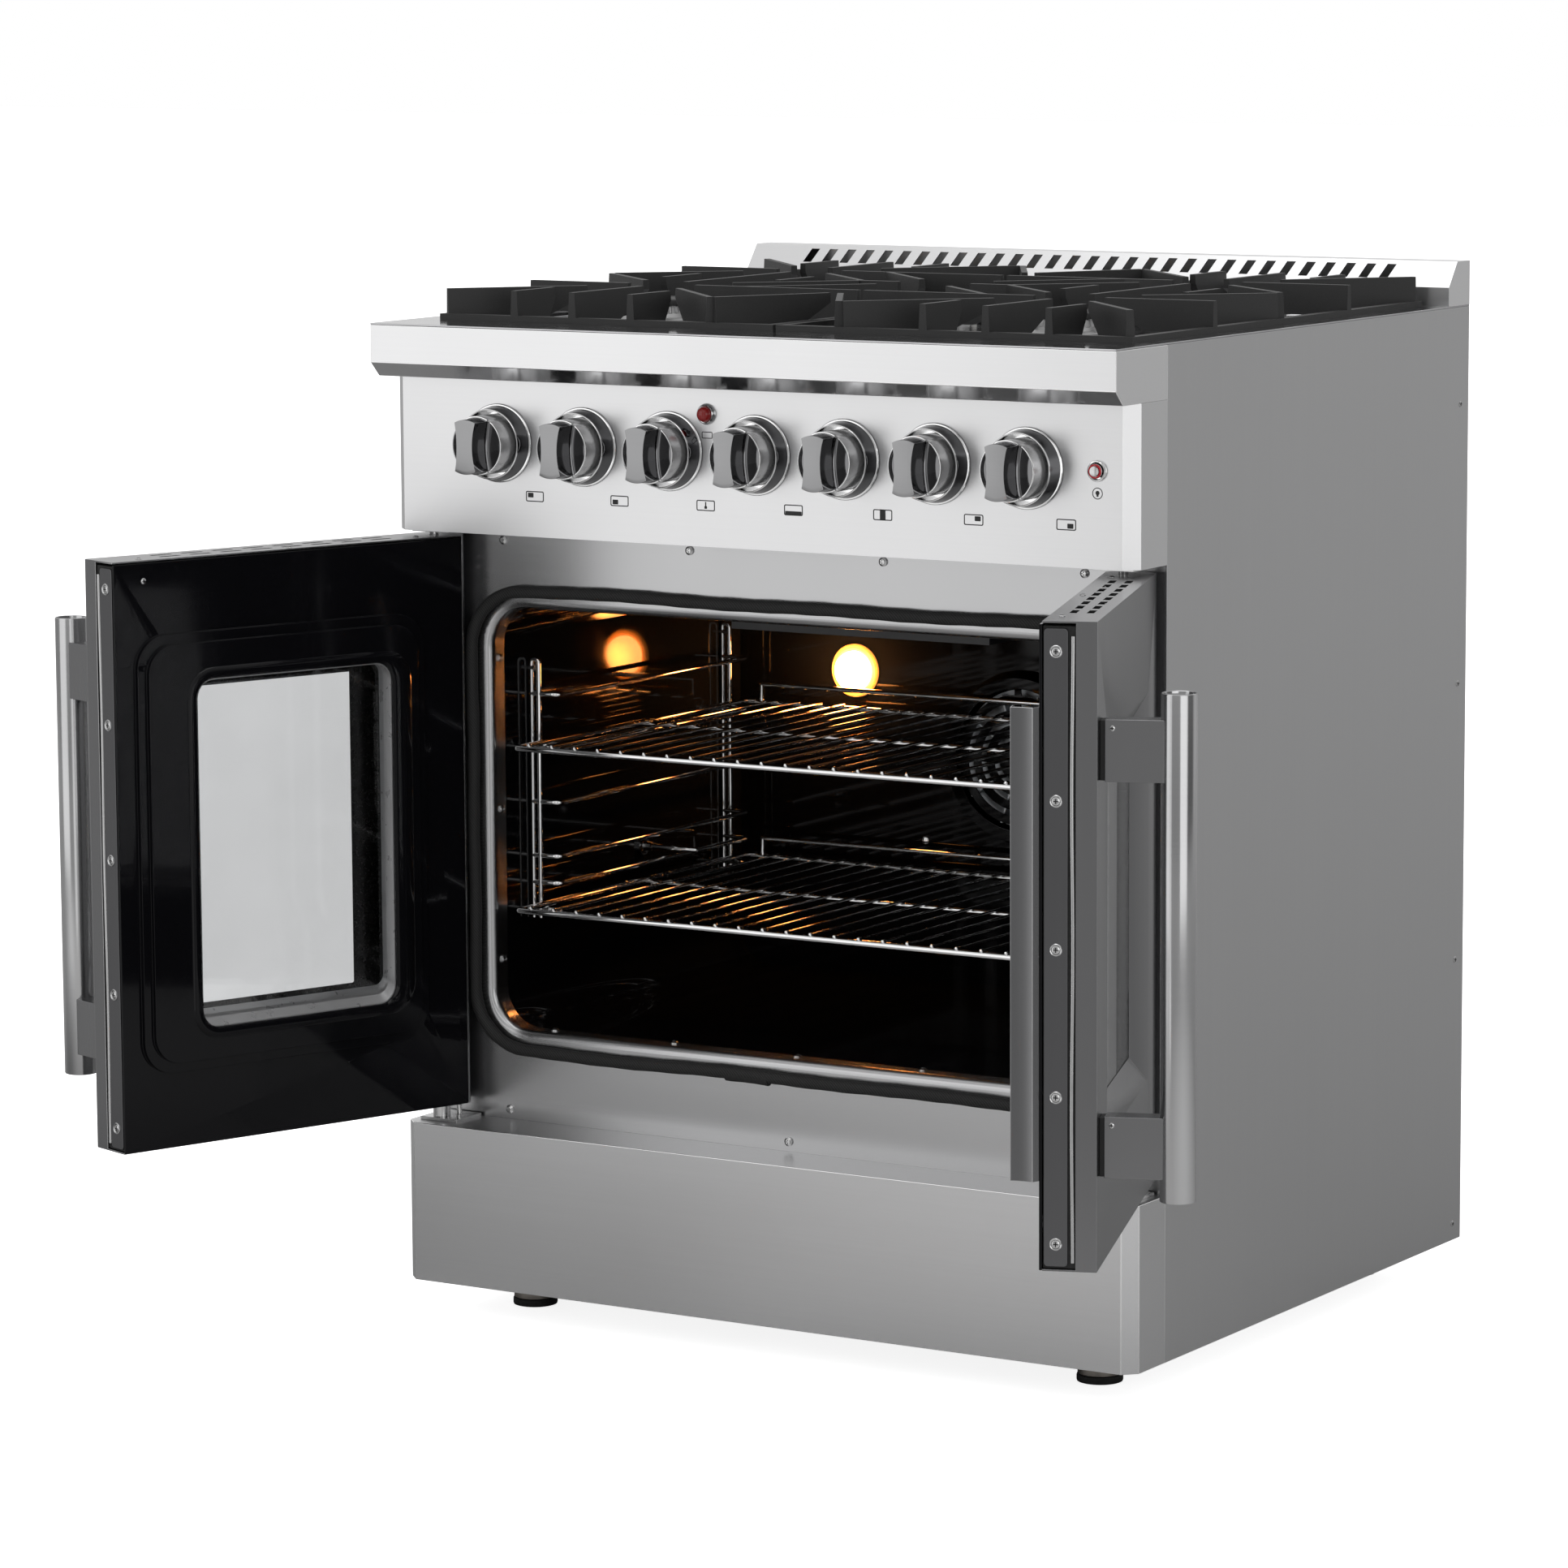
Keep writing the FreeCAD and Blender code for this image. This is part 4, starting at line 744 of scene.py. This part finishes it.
# ---- doors
# Doors are drawn closed and right-handed: x from the cabinet's centre, y back from the front rail's face.
RAIL_Y = -372.5                    # face of the front rail
DOOR_EDGE_X = 1.6                  # free edge of the closed right-hand door
DOOR_LOW, DOOR_HIGH = 194.0, 717.0
POST_LEVELS, POST_CAP_Y = (293.5, 613.0), 28.6
EDGE_SCREWS = [216.0 + 119.2 * i for i in range(5)]
END_SCREWS = ((36.0, 66.0), (190.0, 71.0), (330.0, 66.0))
EDGE_PLATE = ((56.6, 75.6), (198.0, 711.0))
EDGE_WELL = ((DOOR_EDGE_X + 1.8, 12.0), (49.4, 76.6), (196.0, 713.0))
BEAD_X, BEAD_Y, BEAD_R = 2.0, 53.0, 1.9
HANDLE_AXIS, HANDLE_LOW, HANDLE_HIGH = (24.5, -29.1), 249.5, 659.0
HANDLE_END = ((9.0, 2.2), (12.9, 2.0), (13.2, 0.3), (13.7, 0.0), (14.2, 0.2), (14.5, 0.9))
# (across, upright, corner radius, depth) of the trim round the inner pane, the reveal and the printed border
WINDOW = ((80.0, 287.0), (299.0, 609.0), 17.0)
TRIM = (((69.0, 308.0), (288.0, 620.0), 28.0, 87.4), ((70.5, 306.5), (289.5, 618.5), 26.5, 89.3),
        ((73.0, 301.0), (293.0, 615.0), 24.0, 90.2), ((77.0, 291.0), (297.0, 611.0), 19.0, 89.8),
        (*WINDOW, 88.0), (*WINDOW, 86.0))
REVEAL = ((*WINDOW, 86.0), ((81.0, 286.0), (300.0, 608.0), 16.0, 86.0),
          ((81.0, 286.0), (313.0, 607.0), 10.0, 66.0), ((79.0, 288.0), (311.0, 609.0), 12.0, 66.0))
BORDER_OUTER, BORDER_INNER = ((80.5, 299.5), (308.5, 603.5), 3.0), ((86.0, 264.5), (315.0, 601.0), 2.0)
BORDER_DEPTH, BORDER_THICK = 50.9, 0.5


def door_place(side):
    """Matrix from the drawing of a closed right-hand door to where this door stands."""
    joint = JOINTS["door_" + side + "_hinge"]
    closed = max(joint["range_deg"], key=abs)
    pivot = Matrix.Translation(Vector(joint["pos_m"]) / MM)
    opened = pivot @ Matrix.Rotation(-math.radians(closed), 4, Vector(joint["axis"])) @ pivot.inverted()
    mirror = Matrix.Scale(-1, 4, (1, 0, 0)) if side == "left" else Matrix.Identity(4)
    return opened @ Matrix.Translation((0, RAIL_Y, 0)) @ mirror


def screw_head(heads, crosses, matrix, radius, cup):
    """Countersunk cross-head screw, in a cup washer unless cup is 0."""
    if cup:
        washer = ((cup, 0), (cup, 0.5), (cup - 0.5, 1.0), (radius + 0.4, 0.7), (radius + 0.1, 0.1))
        spin(heads, washer, matrix, 32, True)
    spin(heads, ((radius, 0), (radius, 0.35), (radius - 0.6, 0.75), (0.3, 0.95)), matrix, 32)
    arm, wide = radius * 0.62, 0.42
    for x, y in ((arm, wide), (wide, arm)):
        turned(crosses, matrix, block(crosses, (-x, x), (-y, y), (0.6, 1.02)))


def screws(name, cross_name, body, placed):
    """Screw heads and their dark crosses, as two pieces; placed is (matrix, radius, cup) for each screw."""
    heads, crosses = bmesh.new(), bmesh.new()
    for matrix, radius, cup in placed:
        screw_head(heads, crosses, matrix, radius, cup)
    piece(name, heads, "screw", body, "screw_steel")
    piece(cross_name, crosses, "black", body, "black_plastic")


def door_piece(name, side, edit, look, slot, replaces=(), smooth=35.0):
    """Moves a door's drawing to where this door stands and makes it a piece of that door."""
    turned(edit, door_place(side))
    return piece(name + side, edit, look, "door_" + side, slot, replaces, smooth)


def door_details(side):
    """Handle, edge plate with its screws and bead, and small parts of one door."""
    place, body = door_place(side), "door_" + side
    bar = [(radius, HANDLE_LOW + inset) for radius, inset in HANDLE_END]
    bar += [(radius, HANDLE_HIGH - inset) for radius, inset in reversed(HANDLE_END)]
    spun("handle_bar_" + side, bar, place @ standing(*HANDLE_AXIS, 0), "handle", body, "handle_steel",
         ("handle_" + side,), 96)

    posts = softened("handle_posts_" + side, "handle_post", 0.6)
    inverse = place.inverted()
    paint(posts, ("handle_post", "black"),
          lambda centre, normal: 1 if (inverse @ centre).y > POST_CAP_Y else 0)

    placed = [(look_along((-1, 0, 0), (DOOR_EDGE_X + 0.1, 66.0, z)), 3.4, 5.2) for z in EDGE_SCREWS]
    placed += [(look_along((-1, 0, 0), (14.5, 23.0, z + 18.0)), 2.3, 0) for z in POST_LEVELS]
    placed += [(look_along((0, 0, way), (x, y, end)), 2.6, 0)
               for end, way in ((DOOR_HIGH, 1), (DOOR_LOW, -1)) for x, y in END_SCREWS]
    placed.append((look_along((0, 1, 0), (32.0, 79.4, 699.0)), 2.6, 0))
    placed = [(place @ matrix, radius, cup) for matrix, radius, cup in placed]
    screws("door_screws_" + side, "door_screw_crosses_" + side, body, placed)

    plate = bmesh.new()
    prism(plate, [(DOOR_EDGE_X, y, z) for y, z in soft_rect(*EDGE_PLATE, 3.0)], (1.6, 0, 0))
    made = door_piece("door_edge_plate_", side, plate, "edge", "dark_steel", ("edge_strip_" + side,))
    rounded_edges(made, 0.4)
    well = bmesh.new()
    block(well, *EDGE_WELL)
    rounded_edges(door_piece("door_edge_well_", side, well, "rubber", "black_plastic"), 0.5)
    bead = bmesh.new()
    path = [(DOOR_EDGE_X + BEAD_X, BEAD_Y + 0.5 * math.sin(z / 41.0), z) for z in range(201, 708, 6)]
    tube(bead, path, BEAD_R, 16)
    door_piece("door_bead_", side, bead, "bead", "screw_steel")


def door_window(side):
    """Black trim round the inner pane, a satin reveal behind it and the outer pane's printed border."""
    for name, rounds, look, slot, smooth in (("trim_", TRIM, "enamel_door", "black_enamel", 60.0),
                                             ("reveal_", REVEAL, "reveal", "galvanised_steel", 35.0)):
        edit = bmesh.new()
        outline_ring(edit, [(soft_rect(across, upright, radius), y) for across, upright, radius, y in rounds])
        door_piece("door_window_" + name, side, edit, look, slot, smooth=smooth)
    border = bmesh.new()
    frame_plate(border, soft_rect(*BORDER_OUTER), soft_rect(*BORDER_INNER), BORDER_DEPTH, BORDER_THICK)
    door_piece("door_glass_border_", side, border, "print", "black_plastic")


for door_side in ("left", "right"):
    softened("door_inner_" + door_side, "enamel_door", 1.4, 3, 40.0)
    door_details(door_side)
    door_window(door_side)


# ---- gasket, oven and feet
THROAT = ((-316.0, 316.0), (262.0, 650.0))
ROPE_OFF, ROPE_R, ROPE_CORNER, ROPE_STEP = 17.0, 5.6, 53.0, 12
FRAME_FACE = -281.5                # face of the oven's front frame
CRIMP = ((5.2, 0), (6.1, 0.6), (6.3, 6), (6.0, 18), (6.2, 30), (6.6, 40), (7.0, 44), (6.6, 45.5), (5.0, 46))
CRIMP_X, CRIMP_OUT, CRIMP_DROP, CRIMP_FLAT = -62.0, 5.9, 0.5, 0.82


def gasket():
    """Rope seal that wanders a little, with a flattened crimp sleeve over its joint at the bottom."""
    (x0, x1), (z0, z1) = THROAT
    around = soft_rect((x0 - ROPE_OFF, x1 + ROPE_OFF), (z0 - ROPE_OFF, z1 + ROPE_OFF), ROPE_CORNER, 10)
    outline = []
    for one, two in zip(around, around[1:] + around[:1]):
        steps = int(math.dist(one, two) / ROPE_STEP)
        outline.append(one)
        outline += [[a + (b - a) * i / steps for a, b in zip(one, two)] for i in range(1, steps)]
    centre_z = (z0 - ROPE_OFF + z1 + ROPE_OFF) / 2
    path = []
    for x, z in outline:
        away = Vector((x, 0, z - centre_z)).normalized()
        sway = 0.9 * math.sin(x / 37.0 + 0.4) + 0.6 * math.sin(z / 23.0 + x / 61.0)
        path.append(Vector((x, FRAME_FACE - ROPE_R - 0.1, z)) + away * sway)
    edit = bmesh.new()
    tube(edit, path, lambda i: ROPE_R + 0.25 * math.sin(i * 1.7), 20, True)
    piece("gasket_rope", edit, "rope", "cabinet", "gasket_rope", ("door_gasket",), 60)
    place = standing(CRIMP_X, FRAME_FACE - CRIMP_OUT, z0 - ROPE_OFF - CRIMP_DROP)
    flat = Matrix.Diagonal((1.0, CRIMP_FLAT, 1.0, 1.0))
    spun("gasket_crimp", CRIMP, place @ flat @ look_along((1, 0, 0), (0, 0, 0)), "rubber", "cabinet",
         "gasket_rope", steps=40)


def arch(points, radius, steps=6):
    """Path through points with its corners rounded."""
    points = [Vector(p) for p in points]
    path = [points[0]]
    for before, corner_point, after in zip(points, points[1:], points[2:]):
        a = (before - corner_point).normalized() * radius
        b = (after - corner_point).normalized() * radius
        for i in range(steps + 1):
            t = i / steps
            path.append(corner_point + a * (1 - t) ** 2 + b * t ** 2)
    return path + [points[-1]]


ROD_DEPTHS, ROD_X, SUPPORT_X = (-216.5, 111.5), 312.0, 287.0
ROD_LOW, ROD_HIGH, STAPLE_LEVEL = 356.0, 596.0, 588.0
ROD_R, STAPLE_R, RAIL_R = 2.2, 2.6, 2.4
RAIL_LEVELS = (364.0, 389.0, 414.0, 464.0, 514.0, 564.0)


def rack_supports():
    """Hairpin uprights with a bent rail welded on at each level."""
    edit = bmesh.new()
    for side in (-1, 1):
        inner, outer = side * (ROD_X - 4.6), side * (ROD_X + 3.2)
        for y in ROD_DEPTHS:
            hairpin = [(inner, y, ROD_LOW), (inner, y, ROD_HIGH), (outer, y, ROD_HIGH), (outer, y, ROD_LOW)]
            tube(edit, arch(hairpin, 3.8), ROD_R)
            staple = [(side * (ROD_X + 5.6), y, STAPLE_LEVEL), (side * (ROD_X - 1.0), y, STAPLE_LEVEL)]
            tube(edit, staple, STAPLE_R)
        for z in RAIL_LEVELS:
            first, last = ROD_DEPTHS
            rail = [(side * (ROD_X + 3.0), first, z), (side * SUPPORT_X, first + 2, z),
                    (side * SUPPORT_X, last - 2, z), (side * (ROD_X + 3.0), last, z)]
            tube(edit, arch(rail, 7.0), RAIL_R)
    piece("rack_support_wires", edit, "rack", "cabinet", "rack_chrome", ("rack_supports",), 60)


BACK_WALL = 147.5
LAMP_DOME = ((19.0, 0), (19.0, 4), (18.0, 8), (15.6, 11), (12.0, 13), (7.0, 14), (1.0, 14.2))
LAMP_RIM = ((25.5, 0), (25.5, 2.6), (24.0, 4.4), (21.5, 4.8), (19.3, 3.4), (19.3, 0))
BOLT = ((4.6, 0), (4.6, 2.4), (3.6, 3.2), (1.0, 3.6))
BOLTS = ((-95.0, 598.0), (95.0, 598.0), (-270.0, 598.0), (270.0, 598.0), (-110.0, 395.0), (110.0, 395.0))
PROBE = ((9.0, 0), (9.0, 3.0), (5.0, 4.0), (4.2, 9.0), (4.2, 12.0), (2.6, 13.0), (2.6, 60.0), (1.6, 62.0))
PROBE_PLACE = (-318.0, -30.0, 398.0)


def oven_small_parts():
    """Lit lamp with its warm rim, temperature probe, and bolts on the back wall."""
    x, _, z = middle("oven_lamp")
    spun("lamp_dome", LAMP_DOME, facing(x, BACK_WALL - 2.0, z), "lamp", "cabinet", "lamp_glass",
         ("oven_lamp",))
    spun("lamp_rim", LAMP_RIM, facing(x, BACK_WALL, z), "halo", "cabinet", "lamp_glass", closed=True)
    bolts = bmesh.new()
    for x, z in BOLTS:
        spin(bolts, BOLT, facing(x, BACK_WALL, z), 24)
    spin(bolts, PROBE, look_along((1, 0, 0), PROBE_PLACE), 32)
    piece("oven_bolts", bolts, "rack", "cabinet", "rack_chrome")


FOOT_BASE = ((18.6, 0), (20.1, 0.4), (20.5, 1.6), (20.5, 5.4), (20.0, 6.6), (19.0, 7.0))
FOOT = ((18.6, 7.0), (19.6, 7.6), (19.7, 29.4), (19.2, 30.6), (18.0, 31.0), (6.2, 31.2), (6.0, 32.0),
        (6.0, 66.0))


def feet():
    """Turned levelling feet on black rubber bases."""
    for node in [n for n in frame["nodes"] if n.startswith("foot_")]:
        x, y, _ = middle(node)
        place, body = standing(x, y, 0), BODY_OF[node]
        spun(node + "_base", FOOT_BASE, place, "rubber", body, "black_plastic", steps=64)
        spun(node + "_shown", FOOT, place, "foot", body, SLOT_OF[node], (node,), 64)


WIRE_COUNT, WIRE_PITCH, WIRE_UP, RIM_BACK = 24, 25.0, 6.4, 3.7
WIRE_END = ((0.3, -1.6), (1.5, -1.2), (2.2, 0.2), (2.2, 1.6), (1.7, 3.0), (0.4, 3.6))


def rack_ends():
    """Bright rounded ends of the wires along each rack's front rim."""
    for node in ("rack_lower", "rack_upper"):
        _, front, bottom = corners(node)[0]
        edit = bmesh.new()
        for i in range(WIRE_COUNT):
            x = (i - (WIRE_COUNT - 1) / 2) * WIRE_PITCH
            spin(edit, WIRE_END, facing(x, front + RIM_BACK, bottom + WIRE_UP), 16)
        piece(node + "_wire_ends", edit, "rack", BODY_OF[node], "rack_chrome")


rack_ends()
gasket()
rack_supports()
oven_small_parts()
feet()


# ---- burners and grates
FLUTE_DEPTH, CROWN_HIGH, CROWN_INSET, CROWN_TEETH = 1.8, 7.4, 2.0, 28
# Pairs of how far outside the cap's radius and how high over its foot; CAP_TOP gives the depth under the top
CAP_FOOT = ((-3.0, 0.0), (-0.6, 0.1), (0.0, 0.9))
CAP_TOP = ((0.0, 3.0), (-0.8, 1.3), (-2.6, 0.5), (-7.0, 0.2), (-9.0, 0.9))
CAP_DISH_R, CAP_DISH_DEPTH = 4.0, 0.9
HEAD_SKIRT = ((9.0, -15.0), (9.0, -12.5), (6.0, -11.0), (0.0, -10.0), (-1.0, -7.0))
HEAD_THROAT = ((18.0, -34.0), (18.0, -15.0))
IGNITER, IGNITER_TIP = ((2.4, 0), (2.4, 5.5), (1.8, 7.5), (1.0, 8.0)), ((0.8, 7.6), (0.8, 9.6), (0.4, 9.9))
IGNITER_OUT, IGNITER_DROP = 5, 11.0


def crown(edit, x, y, z, radius, teeth):
    """Fluted burner ring: flame ports all round."""
    rows = []
    for height, out in ((z[0], 1.0), (z[0] + 0.8, 1.04), (z[1] - 0.8, 1.0), (z[1], 0.97)):
        ring = []
        for i, (u, v) in enumerate(circle(teeth * 4)):
            notch = FLUTE_DEPTH if i % 4 < 2 and z[0] < height < z[1] else 0.0
            r = radius * out - notch
            ring.append(edit.verts.new((x + r * u, y + r * v, height)))
        rows.append(ring)
    join_rows(edit, rows)


def burners():
    """Heads, loose caps and igniters of the five burners."""
    heads, igniters, tips = bmesh.new(), bmesh.new(), bmesh.new()
    for node in [n for n in frame["nodes"] if n.startswith("burner_cap_")]:
        low, high = corners(node)
        x, y = (low[0] + high[0]) / 2, (low[1] + high[1]) / 2
        radius, top = (high[0] - low[0]) / 2, high[2] - low[2]
        place = standing(x, y, low[2])
        cap = [(radius + r, up) for r, up in CAP_FOOT] + [(radius + r, top - down) for r, down in CAP_TOP]
        cap.append((CAP_DISH_R, top - CAP_DISH_DEPTH))
        spun(node + "_shown", cap, place, "cap", BODY_OF[node], SLOT_OF[node], (node,), 96)
        crown(heads, x, y, (low[2] - CROWN_HIGH, low[2]), radius - CROWN_INSET, CROWN_TEETH)
        spin(heads, [(radius + r, up) for r, up in HEAD_SKIRT], place, 96)
        spin(heads, HEAD_THROAT, place)
        side = -1 if x > 0 else 1
        out = radius + IGNITER_OUT
        tip = standing(x + side * out * 0.7, y + out * 0.7, low[2] - IGNITER_DROP)
        spin(igniters, IGNITER, tip, 20)
        spin(tips, IGNITER_TIP, tip, 12)
    piece("burner_heads_shown", heads, "aluminium", "cabinet", "burner_aluminium", ("burner_heads",), 25)
    piece("igniters", igniters, "ceramic", "cabinet", "burner_aluminium")
    piece("igniter_tips", tips, "screw", "cabinet", "screw_steel")
    for node in ("grate_left", "grate_right"):
        # The grates' bevelled edges take the painted highlight iron.
        softened(node, "iron", 1.3, 3, 25.0, "iron_edge")


burners()


# ---- back
BACK_FACE, BACK_EDGE_X, SIDE_FACE, SIDE_SCREW_Y, BACK_SCREW_R = 307.5, 366.0, 379.4, 290.0, 3.0


def back_details():
    """Flush screws round the edge of the back panel and along the rear edges of the sides."""
    spots = [(x, z) for x in (-BACK_EDGE_X, -183.0, 0.0, 183.0, BACK_EDGE_X) for z in (46.0, 896.0)]
    spots += [(x, z) for x in (-BACK_EDGE_X, BACK_EDGE_X) for z in (216.0, 386.0, 556.0, 726.0)]
    places = [look_along((0, 1, 0), (x, BACK_FACE, z)) for x, z in spots]
    places += [look_along((side, 0, 0), (side * SIDE_FACE, SIDE_SCREW_Y, z))
               for side in (-1, 1) for z in (48.0, 300.0, 560.0, 820.0)]
    screws("back_screws", "back_screw_crosses", "cabinet", [(place, BACK_SCREW_R, 0) for place in places])


back_details()


# ---- stage, light and camera
# Painted pools of light and shade on the floor as the steel reflects it, in metres: centre, radius, how
# bright the centre is
PAINTED_FLOOR_POOLS = (((-0.85, -0.85, 0), 0.75, 0.32), ((1.0, -0.8, 0), 1.3, 2.1), ((-0.15, -0.75, 0), 0.7, 1.4),
               ((-0.7, -1.65, 0), 1.0, 2.3))
PAINTED_POOL_CORE, FLOOR_SEEN = 0.15, 0.90
# Painted shade in reflections: the floor is drawn darker near the range and lighter further off.
NEAR, FAR = (0.5, 0.34), (6.0, 0.60)      # distance in metres and reflected brightness of the floor


def floor():
    """Plain pale floor; what the steel reflects of it is greyer, with painted shade near the range and
    painted pools of light and shade.
    """
    bpy.ops.mesh.primitive_plane_add(size=60, location=(0, 0, 0))
    plane = bpy.context.object
    plane.name = "floor"
    g = Graph("pale_floor")
    seen = g.seen()
    pale = g.ramp(g.noise(3.0), 0.3, 0.7, (0.94, 0.94, 0.94), (0.96, 0.96, 0.96))
    level = g.ramp(g.measure("LENGTH"), NEAR[0], FAR[0], NEAR[1], FAR[1])
    for spot, radius, painted_brightness in PAINTED_FLOOR_POOLS:
        painted_pool = g.ramp(g.measure("DISTANCE", spot), PAINTED_POOL_CORE, radius, painted_brightness, 1.0)
        level = g.calc("MULTIPLY", painted_pool, level)
    # Painted light and shade: the reflected floor colour is the painted level as a grey.
    darker = g.ramp(level, 0.0, 1.0, (0, 0, 0), (1, 1, 1))
    mix = g.node("ShaderNodeMix", {"Factor": seen, "A": darker, "B": pale}, data_type="RGBA")
    g.set(Base_Color=mix.outputs["Result"], Emission_Color=pale, Roughness=0.8,
          Emission_Strength=g.ramp(seen, 0.0, 1.0, 0.0, FLOOR_SEEN))
    plane.data.materials.append(g.owner)


CAMERA_PLACE, CAMERA_LENS = (2.78487, -4.78066, 1.25757), 138.88      # metres, millimetres
CAMERA_YAW, CAMERA_PITCH, CAMERA_ROLL = 0.554756, -0.140402, -0.005693


def camera():
    """Long-lens view from the front right, slightly above the cooktop."""
    data = bpy.data.cameras.new("camera")
    data.sensor_width = 36.0
    data.lens = CAMERA_LENS
    data.clip_end = 60
    cam = bpy.data.objects.new("camera", data)
    bpy.context.collection.objects.link(cam)
    level, rise = math.cos(CAMERA_PITCH), math.sin(CAMERA_PITCH)
    right = Vector((math.cos(CAMERA_YAW), math.sin(CAMERA_YAW), 0.0))
    forward = Vector((-math.sin(CAMERA_YAW) * level, math.cos(CAMERA_YAW) * level, rise))
    up = right.cross(forward)
    across = right * math.cos(CAMERA_ROLL) + up * math.sin(CAMERA_ROLL)
    above = up * math.cos(CAMERA_ROLL) - right * math.sin(CAMERA_ROLL)
    turn = Matrix((across, above, -forward)).transposed().to_4x4()
    cam.matrix_world = Matrix.Translation(CAMERA_PLACE) @ turn
    bpy.context.scene.camera = cam


def direction(azimuth, elevation):
    """Unit vector from an azimuth (0 is +X) and an elevation, in degrees."""
    a, e = math.radians(azimuth), math.radians(elevation)
    return (math.cos(a) * math.cos(e), math.sin(a) * math.cos(e), math.sin(e))


# Soft lobes of the surroundings: azimuth, elevation, cosines where the lobe starts and is full, strength
LOBES = ((90, 90, 0.0, 1.0, 0.50), (125, 10, 0.75, 0.97, 0.40), (58, 4, 0.86, 0.99, 0.24),
         (12, 0, 0.80, 0.98, -0.20))
AMBIENT = 0.32


def world():
    """White backdrop; the steel sees grey surroundings with soft brighter lobes."""
    g = Graph("studio", bpy.data.worlds, "Background", "Generated")
    bpy.context.scene.world = g.owner
    g.set(Color=(1, 1, 1, 1))
    total = AMBIENT
    for azimuth, elevation, low, high, strength in LOBES:
        lobe = g.ramp(g.measure("DOT_PRODUCT", direction(azimuth, elevation)), low, high, 0.0, strength)
        lobe.node.interpolation_type = "SMOOTHSTEP"
        total = g.calc("ADD", lobe, total)
    white = g.node("ShaderNodeMix", {"Factor": g.seen(), "A": total, "B": 1.0})
    g.set(Strength=white.outputs["Result"])


# Soft boxes, in metres: name, place, the point it is aimed at, size, watts
SOFT_BOXES = (("left_box", (-1.8, -2.5, 1.15), (-1.3, 0, 1.15), (2.2, 2.3), 12.5),
              ("middle_box", (0.08, -1.6, 1.15), (-0.5, -0.7, 1.15), (0.3, 2.3), 1.5),
              ("right_box", (4.1, -2.5, 1.15), (2.0, 0, 0.7), (3.6, 2.3), 26),
              ("top_box", (0.0, -0.4, 3.4), (0, -0.2, 0.8), (2.4, 2.0), 18))


def soft_boxes():
    """Upright soft boxes on both sides of the range's front, and one above."""
    for name, place, target, size, watts in SOFT_BOXES:
        data = bpy.data.lights.new(name, "AREA")
        data.shape = "RECTANGLE"
        data.size, data.size_y = size
        data.energy = watts
        lamp = bpy.data.objects.new(name, data)
        bpy.context.collection.objects.link(lamp)
        lamp.location = place
        lamp.visible_camera = False
        lamp.rotation_euler = (Vector(target) - Vector(place)).to_track_quat("-Z", "Y").to_euler()


GLOW_WATTS, GLOW_COLOUR, GLOW_SIZE, GLOW_OUT = 2.2, (1.0, 0.45, 0.12), 0.02, 34.0


def oven_light():
    """Warm light of the lit oven lamp."""
    x, _, z = middle("oven_lamp")
    data = bpy.data.lights.new("oven_glow", "POINT")
    data.energy = GLOW_WATTS
    data.color = GLOW_COLOUR
    data.shadow_soft_size = GLOW_SIZE
    glow_light = bpy.data.objects.new("oven_glow", data)
    glow_light.location = (x * MM, (BACK_WALL - GLOW_OUT) * MM, z * MM)
    glow_light.visible_glossy = False
    bpy.context.collection.objects.link(glow_light)


floor()
camera()
world()
soft_boxes()
oven_light()
bpy.context.scene.view_settings.view_transform = "Standard"
